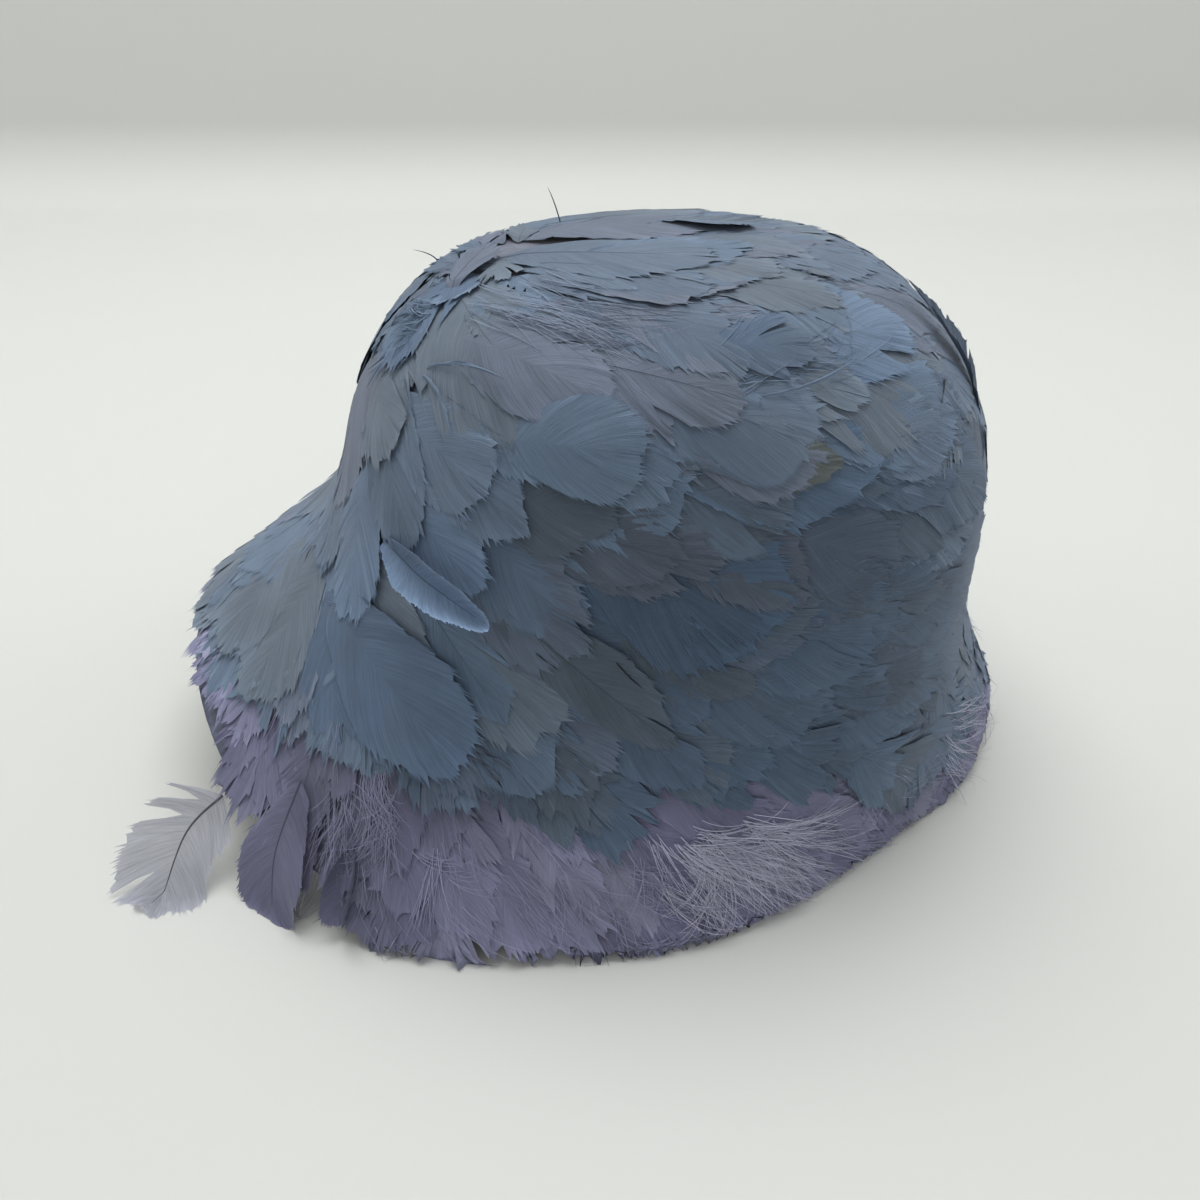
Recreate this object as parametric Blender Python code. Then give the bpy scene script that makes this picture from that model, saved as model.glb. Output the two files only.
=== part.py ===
"""Cloche hat: a felt crown and brim under overlapping rows of feathers, with loose feathers at the edge."""
import math
from typing import NamedTuple

import bmesh
import bpy
import numpy as np

# Felt hat. Lengths are in metres, and bearings run from the front round the wearer's left side to the back.
HEAD_LENGTH = 0.1955
HEAD_WIDTH = 0.1740
OVAL_POWER = 2.25
HAT_HEIGHT = 0.1665
FELT_THICKNESS = 0.0020
BRIM_FLARE = 0.0535
BRIM_LIFT = 0.0400
FELT_TIP_SEAM_STATION = 3.5
FELT_SEAM_STATION = 6.0
FELT_SEAM_HALF_GAP = 0.005
FELT_EDGE_STATION = 7.75
FELT_COLUMNS = 44

# Feather cover
FEATHER_THICKNESS = 0.0008
PIECE_GAP = 0.0004
FEATHER_RELIEF = 0.0006
FEATHER_COLUMNS = 3
STATION_STEP = 0.5
SURFACE_PROBE = 0.001
POLE_NUDGE = 1.0e-12
FEATHER_ROUGHNESS = 0.75
SMOOTH_ANGLE = math.radians(40.0)

SLATE = (0.115, 0.150, 0.205)
DEEP_SLATE = (0.085, 0.112, 0.155)
LILAC = (0.215, 0.200, 0.330)
PALE_LILAC = (0.520, 0.530, 0.620)
DARK_LILAC = (0.120, 0.110, 0.190)
FELT_GREY = (0.105, 0.120, 0.145)


# Loose feathers at the edge and on the crown
CURLED_LENGTH = 0.034
LIFTED_LENGTH = 0.052
HANGING_LENGTH = 0.046
LOOSE_LENGTH = 0.046
TUCKED_LENGTH = 0.022
VANE_LEVELS = 7
VANE_ACROSS = (-1.0, -0.5, 0.0, 0.5, 1.0)
VANE_SHARPNESS = 0.55
VANE_ROOT_WIDTH = 0.22


class Section(NamedTuple):
    """A level of the crown: rise as a share of the height, reaches as shares of the head oval."""

    name: str
    rise: float
    front: float
    side: float
    back: float


CROWN = (
    Section("tip_centre", 1.000, 0.000, 0.000, 0.000),
    Section("tip_inner", 0.993, 0.340, 0.320, 0.310),
    Section("tip_outer", 0.962, 0.620, 0.600, 0.600),
    Section("shoulder", 0.890, 0.800, 0.785, 0.790),
    Section("upper_wall", 0.770, 0.925, 0.915, 0.940),
    Section("wall", 0.615, 1.000, 1.000, 1.005),
)


class Compass(NamedTuple):
    """The lower hat at one bearing: the waist, the brim's middle and its edge."""

    name: str
    waist_rise: float
    waist_reach: float
    middle_out: float
    middle_down: float
    flare: float
    lift: float


BRIM = (
    Compass("front", 0.505, 1.095, 0.46, 0.45, 1.000, 1.000),
    Compass("fore", 0.430, 1.090, 0.46, 0.52, 0.780, 0.170),
    Compass("side", 0.340, 1.075, 0.36, 0.52, 0.460, -0.080),
    Compass("aft", 0.360, 1.020, 0.36, 0.52, 0.080, -0.080),
    Compass("back", 0.400, 1.000, 0.40, 0.50, 0.350, 0.360),
)


class Row(NamedTuple):
    """A ring of feathers between two stations of the hat's surface; lean and tip are counted in feathers and stations."""

    node: str
    top: float
    foot: float
    feathers: int
    lean: float
    tip: float
    colour: tuple


ROWS = (
    Row("crown_tip_feathers", 0.0, 2.0, 14, 1.10, 0.40, SLATE),
    Row("crown_upper_feathers", 1.5, 3.5, 16, 1.30, 0.40, SLATE),
    Row("crown_middle_feathers", 3.0, 4.5, 18, 1.30, 0.40, SLATE),
    Row("crown_lower_feathers", 4.0, 5.5, 18, 1.20, 0.40, DEEP_SLATE),
    Row("waist_feathers", 5.0, 6.5, 18, 1.00, 0.40, DEEP_SLATE),
    Row("brim_feathers", 6.0, 7.5, 22, 0.60, 0.45, DEEP_SLATE),
    Row("lilac_border_feathers", 7.0, 8.0, 24, 0.35, 0.20, LILAC),
)


class Spot(NamedTuple):
    """A point of a quill: bearing in degrees, station, then lift off the rows, out and drop as shares of its length."""

    bearing: float
    station: float
    lift: float
    out: float
    drop: float


class Plume(NamedTuple):
    """A single feather: half width and cup are shares of its length, and it faces along the given direction."""

    node: str
    length: float
    half_width: float
    cup: float
    face: tuple
    spots: tuple
    colour: tuple


PLUMES = (
    Plume(
        "curled_feather", CURLED_LENGTH, 0.17, 0.12, (0.80, -0.40, 0.45),
        (Spot(37.0, 5.00, 0.0, 0.0, 0.0), Spot(46.0, 5.25, 0.05, 0.0, 0.0), Spot(57.5, 5.60, 0.20, 0.0, 0.0)),
        SLATE,
    ),
    Plume(
        "lifted_feather", LIFTED_LENGTH, 0.19, 0.02, (0.22, 0.80, 0.56),
        (
            Spot(164.0, 4.22, -0.004, 0.0, 0.0), Spot(164.0, 3.60, 0.05, 0.0, 0.0),
            Spot(163.5, 3.00, 0.07, 0.0, 0.0), Spot(163.0, 2.45, 0.11, 0.0, 0.0),
        ),
        DEEP_SLATE,
    ),
    Plume(
        "hanging_feather", HANGING_LENGTH, 0.36, 0.02, (0.66, -0.56, 0.50),
        (Spot(36.5, 7.60, 0.01, 0.0, 0.0), Spot(40.5, 8.0, 0.06, 0.02, 0.02), Spot(44.0, 8.0, 0.0, 0.26, 0.45)),
        LILAC,
    ),
    Plume(
        "loose_feather", LOOSE_LENGTH, 0.42, 0.03, (0.84, 0.0, 0.54),
        (Spot(29.5, 7.92, 0.015, 0.0, 0.0), Spot(30.2, 8.0, 0.03, 0.40, 0.10), Spot(32.6, 8.0, 0.0, 0.80, 0.46)),
        PALE_LILAC,
    ),
    Plume(
        "tucked_feather", TUCKED_LENGTH, 0.34, 0.01, (0.68, -0.46, 0.56),
        (Spot(49.0, 7.62, 0.01, 0.0, 0.0), Spot(49.5, 8.0, 0.06, 0.0, 0.0), Spot(50.0, 8.0, 0.0, 0.16, 0.62)),
        DARK_LILAC,
    ),
)
TIP_PROFILE = (0.10, 0.90, 1.00)
RELIEF_PROFILE = (0.0, 0.5, 1.0)
LENGTH_CYCLE = (0.0, 0.35, 0.10, 0.45, 0.20)
# Share of the relief that a row has already gained where the row above it ends.
RELIEF_UNDER_OVERLAP = 0.35
OVERLAP_GAP = 0.0006
LAYER_STEP = FEATHER_THICKNESS + OVERLAP_GAP + RELIEF_UNDER_OVERLAP * FEATHER_RELIEF


def around(values, bearing):
    """Carries values given at the five compass rows smoothly round the hat, the same on its left and right."""
    values = np.asarray(values, dtype=float)
    steps = len(values) - 1
    turn = np.abs((np.asarray(bearing, dtype=float) + math.pi) % (2.0 * math.pi) - math.pi)
    place = turn / math.pi * steps
    low = np.clip(np.floor(place).astype(int), 0, steps - 1)
    part = place - low
    rises = np.diff(values)
    slopes = np.zeros(steps + 1)
    for index in range(1, steps):
        before = rises[index - 1]
        after = rises[index]
        if before * after > 0.0:
            slopes[index] = 2.0 * before * after / (before + after)
    start = values[low] * (1.0 + 2.0 * part) * (1.0 - part) ** 2
    end = values[low + 1] * part**2 * (3.0 - 2.0 * part)
    leaving = slopes[low] * part * (1.0 - part) ** 2
    arriving = slopes[low + 1] * part**2 * (part - 1.0)
    return start + end + leaving + arriving


def head_oval(bearing):
    """Reach of the head oval at a bearing."""
    lengthwise = np.abs(np.cos(bearing) / (HEAD_LENGTH / 2.0)) ** OVAL_POWER
    crosswise = np.abs(np.sin(bearing) / (HEAD_WIDTH / 2.0)) ** OVAL_POWER
    return (lengthwise + crosswise) ** (-1.0 / OVAL_POWER)


def sections_at(bearing):
    """Reach and height of every section at the bearings, from the tip's centre to the brim's edge."""
    oval = head_oval(bearing)
    reaches = []
    heights = []
    for row in CROWN:
        fore = (row.front + row.side) / 2.0
        aft = (row.side + row.back) / 2.0
        reaches.append(oval * around((row.front, fore, row.side, aft, row.back), bearing))
        heights.append(np.full_like(oval, row.rise * HAT_HEIGHT))
    waist_reach = oval * around([row.waist_reach for row in BRIM], bearing)
    waist_height = HAT_HEIGHT * around([row.waist_rise for row in BRIM], bearing)
    edge_reach = waist_reach + BRIM_FLARE * around([row.flare for row in BRIM], bearing)
    edge_height = BRIM_LIFT * around([row.lift for row in BRIM], bearing)
    out = around([row.middle_out for row in BRIM], bearing)
    down = around([row.middle_down for row in BRIM], bearing)
    reaches += [waist_reach, waist_reach + (edge_reach - waist_reach) * out, edge_reach]
    heights += [waist_height, waist_height + (edge_height - waist_height) * down, edge_height]
    return np.array(reaches), np.array(heights)


def through(rows, station):
    """Smooth curve through the section rows, read at the stations."""
    last = len(rows) - 1
    low = np.clip(np.floor(station).astype(int), 0, last - 1)
    part = station - low
    take = np.arange(rows.shape[1])
    before = rows[np.maximum(low - 1, 0), take]
    here = rows[low, take]
    there = rows[low + 1, take]
    after = rows[np.minimum(low + 2, last), take]
    square = 2.0 * before - 5.0 * here + 4.0 * there - after
    cube = 3.0 * (here - there) + after - before
    return here + 0.5 * part * ((there - before) + part * (square + part * cube))


def surface(bearing, station):
    """Points of the felt's outer surface."""
    reaches, heights = sections_at(bearing)
    reach = through(reaches, station)
    height = through(heights, station)
    return np.stack([reach * np.sin(bearing), -reach * np.cos(bearing), height], axis=-1)


def surface_normal(bearing, station):
    """Outward directions square to the felt's outer surface."""
    last = len(CROWN) + 2
    upper = np.clip(station - SURFACE_PROBE, 0.0, last)
    lower = np.clip(station + SURFACE_PROBE, 0.0, last)
    level = np.maximum(station, SURFACE_PROBE)
    down = surface(bearing, lower) - surface(bearing, upper)
    along = surface(bearing + SURFACE_PROBE, level) - surface(bearing - SURFACE_PROBE, level)
    normal = np.cross(down, along)
    normal[..., 2] += POLE_NUDGE
    return normal / np.linalg.norm(normal, axis=-1, keepdims=True)


def skin(bearing, station, offset):
    """Points at an offset from the felt, straight between neighbouring stations so that all layers nest."""
    bearing = np.asarray(bearing, dtype=float).ravel()
    station = np.broadcast_to(np.asarray(station, dtype=float), bearing.shape)
    offset = np.broadcast_to(np.asarray(offset, dtype=float), bearing.shape)
    last = len(CROWN) + 2
    low = np.clip(np.floor(station / STATION_STEP) * STATION_STEP, 0.0, last - STATION_STEP)
    part = ((station - low) / STATION_STEP)[:, None]
    high = low + STATION_STEP
    point = surface(bearing, low) * (1.0 - part) + surface(bearing, high) * part
    normal = surface_normal(bearing, low) * (1.0 - part) + surface_normal(bearing, high) * part
    return point + normal * offset[:, None]


def row_slopes():
    """Outward rise of each row per station, just enough to pass over the row below it."""
    slopes = [0.0] * len(ROWS)
    slopes[-1] = LAYER_STEP
    for index in range(len(ROWS) - 2, -1, -1):
        row = ROWS[index]
        below = ROWS[index + 1]
        at_top = LAYER_STEP / (below.top - row.top)
        at_foot = (LAYER_STEP + slopes[index + 1] * (row.foot - below.top)) / (row.foot - row.top)
        slopes[index] = max(at_top, at_foot)
    return slopes


def above_floor(points):
    """The same points with none below the surface that the hat stands on."""
    lifted = np.array(points)
    lifted[..., 2] = np.maximum(lifted[..., 2], 0.0)
    return lifted


def add_object(node, vertices, faces, colour, smooth_angle):
    """Makes one closed solid of the given faces with its own material."""
    mesh = bpy.data.meshes.new(node)
    mesh.from_pydata([tuple(float(value) for value in point) for point in vertices], [], faces)
    work = bmesh.new()
    work.from_mesh(mesh)
    bmesh.ops.recalc_face_normals(work, faces=work.faces)
    if work.calc_volume(signed=True) < 0.0:
        bmesh.ops.reverse_faces(work, faces=work.faces)
    for face in work.faces:
        face.smooth = True
    for edge in work.edges:
        edge.smooth = len(edge.link_faces) == 2 and edge.calc_face_angle(0.0) < smooth_angle
    work.to_mesh(mesh)
    work.free()
    thing = bpy.data.objects.new(node, mesh)
    bpy.context.scene.collection.objects.link(thing)
    material = bpy.data.materials.new(node)
    material.use_nodes = True
    shader = material.node_tree.nodes["Principled BSDF"]
    shader.inputs["Base Color"].default_value = (*colour, 1.0)
    shader.inputs["Roughness"].default_value = FEATHER_ROUGHNESS
    mesh.materials.append(material)
    return thing


def ring_faces(columns, levels, start, flip):
    """Triangles between rings of vertices, cut along the diagonal that leans least."""
    faces = []
    for level in range(levels - 1):
        for column in range(columns):
            after = (column + 1) % columns
            a = start + level * columns + column
            b = start + level * columns + after
            c = start + (level + 1) * columns + after
            d = start + (level + 1) * columns + column
            pair = [(a, b, d), (b, c, d)]
            faces += [tri[::-1] if flip else tri for tri in pair]
    return faces


def shell(node, outer, inner, pole_outer, pole_inner, colour):
    """Closes two nested stacks of rings, open or meeting a pole at the top, into one solid."""
    levels, columns = outer.shape[:2]
    vertices = list(outer.reshape(-1, 3)) + list(inner.reshape(-1, 3))
    count = levels * columns
    faces = ring_faces(columns, levels, 0, False) + ring_faces(columns, levels, count, True)
    for column in range(columns):
        after = (column + 1) % columns
        foot = (levels - 1) * columns
        faces.append((foot + column, foot + after, count + foot + after))
        faces.append((foot + column, count + foot + after, count + foot + column))
        if pole_outer is None:
            faces.append((column, count + after, after))
            faces.append((column, count + column, count + after))
        else:
            faces.append((2 * count, after, column))
            faces.append((2 * count + 1, count + column, count + after))
    if pole_outer is not None:
        vertices += [pole_outer, pole_inner]
    return add_object(node, vertices, faces, colour, SMOOTH_ANGLE)


def stations_between(top, foot):
    """Shared stations from just below the top to the foot, the foot itself left out."""
    count = int(round((foot - top) / STATION_STEP))
    return [top + STATION_STEP * index for index in range(count)]


def felt_rings(levels):
    """Outer and inner rings of the felt wall at the given stations."""
    bearing = np.linspace(0.0, 2.0 * math.pi, FELT_COLUMNS, endpoint=False)
    outer = np.array([skin(bearing, level, 0.0) for level in levels])
    inner = np.array([skin(bearing, level, -FELT_THICKNESS) for level in levels])
    return outer, inner


def build_felt_tip():
    """Felt over the top of the head, down to the seam at the shoulder."""
    foot = FELT_TIP_SEAM_STATION - FELT_SEAM_HALF_GAP
    outer, inner = felt_rings(stations_between(STATION_STEP, FELT_TIP_SEAM_STATION) + [foot])
    pole = skin([0.0], 0.0, 0.0)[0]
    return shell("felt_tip", outer, inner, pole, pole - np.array([0.0, 0.0, FELT_THICKNESS]), FELT_GREY)


def build_felt_crown():
    """Felt wall round the head, from the shoulder to the seam at the waist."""
    top = FELT_TIP_SEAM_STATION + FELT_SEAM_HALF_GAP
    foot = FELT_SEAM_STATION - FELT_SEAM_HALF_GAP
    below = FELT_TIP_SEAM_STATION + STATION_STEP
    outer, inner = felt_rings([top] + stations_between(below, FELT_SEAM_STATION) + [foot])
    return shell("felt_crown", outer, inner, None, None, FELT_GREY)


def build_felt_brim():
    """Felt brim that flares from the seam to the edge."""
    top = FELT_SEAM_STATION + FELT_SEAM_HALF_GAP
    below = FELT_SEAM_STATION + STATION_STEP
    levels = [top] + stations_between(below, FELT_EDGE_STATION + STATION_STEP / 2.0) + [FELT_EDGE_STATION]
    outer, inner = felt_rings(levels)
    return shell("felt_brim", outer, inner, None, None, FELT_GREY)


def build_row(row, slope):
    """One ring of overlapping feathers with separate rounded tips."""
    columns = row.feathers * FEATHER_COLUMNS
    index = np.arange(columns)
    within = index % FEATHER_COLUMNS
    feather = index // FEATHER_COLUMNS
    profile = np.array(TIP_PROFILE)[within]
    relief = np.array(RELIEF_PROFILE)[within] * FEATHER_RELIEF
    short = np.array(LENGTH_CYCLE)[feather % len(LENGTH_CYCLE)]
    foot = row.foot - row.tip * (1.0 - profile * (1.0 - short))
    levels = stations_between(row.top, row.foot)
    if row.top == 0.0:
        levels = levels[1:]
    outer = []
    inner = []
    for station in [np.full(columns, level) for level in levels] + [foot]:
        share = (station - row.top) / (row.foot - row.top)
        bearing = 2.0 * math.pi * (index / columns + row.lean * share / row.feathers)
        lift = PIECE_GAP + slope * (station - row.top) + relief * share
        outer.append(skin(bearing, station, lift + FEATHER_THICKNESS))
        inner.append(skin(bearing, station, lift))
    poles = (None, None)
    if row.top == 0.0:
        poles = (skin([0.0], 0.0, PIECE_GAP + FEATHER_THICKNESS)[0], skin([0.0], 0.0, PIECE_GAP)[0])
    return shell(row.node, above_floor(outer), above_floor(inner), *poles, row.colour)


def pile_height(station):
    """Height above the felt that the rows reach at a station."""
    tops = [0.0]
    for row, slope in zip(ROWS, row_slopes()):
        if row.top <= station <= row.foot:
            share = (station - row.top) / (row.foot - row.top)
            tops.append(PIECE_GAP + slope * (station - row.top) + FEATHER_RELIEF * share + FEATHER_THICKNESS)
    return max(tops)


def spot_point(spot, length):
    """Place of one point of a quill."""
    bearing = math.radians(spot.bearing)
    height = pile_height(spot.station) + PIECE_GAP + spot.lift * length
    point = skin([bearing], spot.station, height)[0]
    outward = np.array([math.sin(bearing), -math.cos(bearing), 0.0])
    return point + outward * spot.out * length - np.array([0.0, 0.0, spot.drop * length])


def build_plume(plume):
    """One separate feather as a thin cupped blade that ends in a rounded tip."""
    spots = np.array([spot_point(spot, plume.length) for spot in plume.spots])
    along = np.linspace(0.0, 1.0, VANE_LEVELS)
    spine = np.array([through(spots, np.full(3, share * (len(spots) - 1))) for share in along])
    heading = np.gradient(spine, axis=0)
    heading /= np.linalg.norm(heading, axis=1, keepdims=True)
    side = np.cross(np.array(plume.face), heading)
    side /= np.linalg.norm(side, axis=1, keepdims=True)
    normal = np.cross(heading, side)
    width = VANE_ROOT_WIDTH + (1.0 - VANE_ROOT_WIDTH) * np.sin(math.pi * along**0.8) ** VANE_SHARPNESS
    across = np.array(VANE_ACROSS)[None, :, None]
    reach = (plume.half_width * plume.length * width)[:, None, None]
    rise = plume.cup * plume.length * across**2 * width[:, None, None]
    lower = spine[:, None, :] + side[:, None, :] * across * reach + normal[:, None, :] * rise
    upper = lower + normal[:, None, :] * FEATHER_THICKNESS
    lower = above_floor(lower)
    upper = above_floor(upper)
    upper[..., 2] = np.maximum(upper[..., 2], lower[..., 2] + FEATHER_THICKNESS * np.abs(normal[:, None, 2]))
    levels, count = lower.shape[:2]
    vertices = list(upper.reshape(-1, 3)) + list(lower.reshape(-1, 3))
    under = levels * count
    faces = []
    for level in range(levels - 1):
        for column in range(count - 1):
            a = level * count + column
            b = a + 1
            c = b + count
            d = a + count
            faces += [(a, b, c), (a, c, d), (under + c, under + b, under + a), (under + d, under + c, under + a)]
    rim = [column for column in range(count)]
    rim += [level * count + count - 1 for level in range(1, levels)]
    rim += [(levels - 1) * count + column for column in range(count - 2, -1, -1)]
    rim += [level * count for level in range(levels - 2, 0, -1)]
    for here, there in zip(rim, rim[1:] + rim[:1]):
        faces += [(here, under + here, under + there), (here, under + there, there)]
    return add_object(plume.node, vertices, faces, plume.colour, SMOOTH_ANGLE)


def centre_on_floor(things):
    """Shifts every solid so that the origin is the middle of the underside of them all."""
    corners = np.array([vertex.co[:] for thing in things for vertex in thing.data.vertices])
    middle = (corners.min(axis=0) + corners.max(axis=0)) / 2.0
    for thing in things:
        for vertex in thing.data.vertices:
            vertex.co.x -= middle[0]
            vertex.co.y -= middle[1]


def main():
    """Clears the scene and builds every piece."""
    for thing in list(bpy.data.objects):
        bpy.data.objects.remove(thing, do_unlink=True)
    things = [build_felt_tip(), build_felt_crown(), build_felt_brim()]
    things += [build_row(row, slope) for row, slope in zip(ROWS, row_slopes())]
    things += [build_plume(plume) for plume in PLUMES]
    centre_on_floor(things)


main()
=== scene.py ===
"""Feathered cloche hat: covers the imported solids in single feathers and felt, and lights them."""
from __future__ import annotations

import logging
import math
from dataclasses import dataclass, fields
from enum import Enum

import bpy
import numpy as np
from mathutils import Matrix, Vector

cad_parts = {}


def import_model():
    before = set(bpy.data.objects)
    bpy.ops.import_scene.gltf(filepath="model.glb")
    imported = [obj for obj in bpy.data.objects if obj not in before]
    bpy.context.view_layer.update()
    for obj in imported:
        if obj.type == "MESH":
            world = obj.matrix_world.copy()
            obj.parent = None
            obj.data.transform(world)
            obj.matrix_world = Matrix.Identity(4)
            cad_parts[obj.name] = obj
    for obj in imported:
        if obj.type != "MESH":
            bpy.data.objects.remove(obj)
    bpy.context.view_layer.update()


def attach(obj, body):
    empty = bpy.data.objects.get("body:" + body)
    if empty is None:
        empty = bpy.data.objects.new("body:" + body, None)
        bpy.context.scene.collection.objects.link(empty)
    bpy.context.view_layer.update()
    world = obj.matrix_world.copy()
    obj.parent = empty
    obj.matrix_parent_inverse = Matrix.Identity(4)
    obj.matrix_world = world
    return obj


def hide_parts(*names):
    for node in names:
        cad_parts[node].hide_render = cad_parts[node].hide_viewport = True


LOG = logging.getLogger("cloche")
BODY = "root"
FLOOR_EASE = 0.0012
LEAST_EASE = -2.5
QUILL_SHARE = 0.80
FULL_TURN = 2.0 * math.pi
Array = np.ndarray
Table = tuple[tuple[float, float], ...]


class Shade(Enum):
    """Dyed colours of the feathers and felt, as linear red, green and blue; some stand for painted shade,
    painted shadow and painted highlight, as marked.
    """

    SLATE = (0.116, 0.160, 0.225)
    STEEL = (0.117, 0.168, 0.240)
    GREY = (0.130, 0.166, 0.212)
    MAUVE = (0.130, 0.157, 0.213)
    SKY = (0.132, 0.192, 0.284)
    BRIGHT = (0.090, 0.134, 0.206)
    # Dark blue; on placed feathers round the side of the hat it is also painted shade.
    DEEP_BLUE_AND_PAINTED_SHADE = (0.070, 0.096, 0.138)
    # Darker copies of grey and mauve for placed feathers round the side of the hat: painted shade.
    GREY_IN_PAINTED_SHADE = (0.070, 0.092, 0.122)
    MAUVE_IN_PAINTED_SHADE = (0.072, 0.090, 0.124)
    OLIVE = (0.096, 0.112, 0.112)
    LILAC = (0.200, 0.204, 0.312)
    PALE_LILAC = (0.256, 0.260, 0.378)
    DARK_LILAC = (0.160, 0.159, 0.254)
    HEATHER = (0.126, 0.127, 0.196)
    DOWN = (0.430, 0.430, 0.540)
    # Near-black for strips that stand in for the shadow in gaps between feathers: painted shadow.
    PAINTED_SHADOW = (0.012, 0.015, 0.022)
    PALE = (0.190, 0.232, 0.312)
    # Pale loose barbs on the crown's top, drawn pale as a painted highlight.
    SILVER = (0.520, 0.530, 0.600)
    FELT = (0.120, 0.132, 0.180)


class Outline(Enum):
    """Shape of a vane, as the share of its half width that is left at the tip."""

    ROUND = 0.50
    BROAD = 0.46
    POINTED = 0.28
    FAN = 0.16


def from_front(bearing: Array) -> Array:
    """Bearings in radians as turns from the front, negative on the wearer's right."""
    return (bearing + math.pi) % FULL_TURN - math.pi


def looked_up(table: Table, bearing: Array) -> Array:
    """Values of a table by degrees from the front, the same on both sides, at bearings in radians."""
    turn = np.abs(np.degrees(from_front(bearing)))
    return np.interp(turn, *np.transpose(table))


@dataclass(frozen=True)
class Level:
    """A level of the crown: rise as a share of the height, reaches as shares of the head oval."""

    rise: float
    front: float
    side: float
    back: float


@dataclass(frozen=True)
class Quarter:
    """The lower hat at one bearing: the waist, the brim's middle and its edge."""

    waist_rise: float
    waist_reach: float
    middle_out: float
    middle_down: float
    flare: float
    lift: float


@dataclass(frozen=True)
class HatForm:
    """Sizes of the felt under the feathers, in metres."""

    head_length: float = 0.1955
    head_width: float = 0.1740
    oval_power: float = 2.25
    height: float = 0.1665
    brim_flare: float = 0.0535
    brim_lift: float = 0.0400
    felt: float = 0.0020
    shift: tuple[float, float] = (-0.00047269, 0.02635636)
    crown: tuple[Level, ...] = (
        Level(1.000, 0.000, 0.000, 0.000),
        Level(0.993, 0.340, 0.320, 0.310),
        Level(0.962, 0.620, 0.600, 0.600),
        Level(0.890, 0.800, 0.785, 0.790),
        Level(0.770, 0.925, 0.915, 0.940),
        Level(0.615, 1.000, 1.000, 1.005),
    )
    brim: tuple[Quarter, ...] = (
        Quarter(0.505, 1.095, 0.46, 0.45, 1.000, 1.000),
        Quarter(0.430, 1.090, 0.46, 0.52, 0.780, 0.170),
        Quarter(0.340, 1.075, 0.36, 0.52, 0.460, -0.080),
        Quarter(0.360, 1.020, 0.36, 0.52, 0.080, -0.080),
        Quarter(0.400, 1.000, 0.40, 0.50, 0.350, 0.360),
    )

    @staticmethod
    def around(values: list[float], bearing: Array) -> Array:
        """Carries values given at five bearings smoothly round the hat.

        Args:
            values: one number for the front, fore, side, aft and back.
            bearing: bearings in radians.

        Returns:
            The value at each bearing.
        """
        row = np.asarray(values, dtype=float)
        steps = len(row) - 1
        place = np.abs(from_front(bearing)) / math.pi * steps
        low = np.clip(np.floor(place).astype(int), 0, steps - 1)
        part = place - low
        rises = np.diff(row)
        slopes = np.zeros(steps + 1)
        for index, (before, after) in enumerate(zip(rises, rises[1:]), 1):
            if before * after > 0.0:
                slopes[index] = 2.0 * before * after / (before + after)
        start = row[low] * (1.0 + 2.0 * part) * (1.0 - part) ** 2
        end = row[low + 1] * part**2 * (3.0 - 2.0 * part)
        leaving = slopes[low] * part * (1.0 - part) ** 2
        arriving = slopes[low + 1] * part**2 * (part - 1.0)
        return start + end + leaving + arriving

    def sections(self, bearing: Array) -> tuple[Array, Array]:
        """Reach and height of every section at the bearings.

        Args:
            bearing: bearings in radians.

        Returns:
            Two arrays with a row for each section and a column for each bearing.
        """
        lengthwise = np.abs(np.cos(bearing) / (self.head_length / 2.0)) ** self.oval_power
        crosswise = np.abs(np.sin(bearing) / (self.head_width / 2.0)) ** self.oval_power
        oval = (lengthwise + crosswise) ** (-1.0 / self.oval_power)
        reaches, heights = [], []
        for level in self.crown:
            fore = (level.front + level.side) / 2.0
            aft = (level.side + level.back) / 2.0
            row = [level.front, fore, level.side, aft, level.back]
            reaches.append(oval * self.around(row, bearing))
            heights.append(np.full_like(oval, level.rise * self.height))
        quarters = [[getattr(quarter, field.name) for quarter in self.brim] for field in fields(Quarter)]
        rise, reach, out, down, flare, lift = (self.around(values, bearing) for values in quarters)
        waist, waist_up = oval * reach, self.height * rise
        edge, edge_up = waist + self.brim_flare * flare, self.brim_lift * lift
        reaches += [waist, waist + (edge - waist) * out, edge]
        heights += [waist_up, waist_up + (edge_up - waist_up) * down, edge_up]
        return np.array(reaches), np.array(heights)


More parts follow.
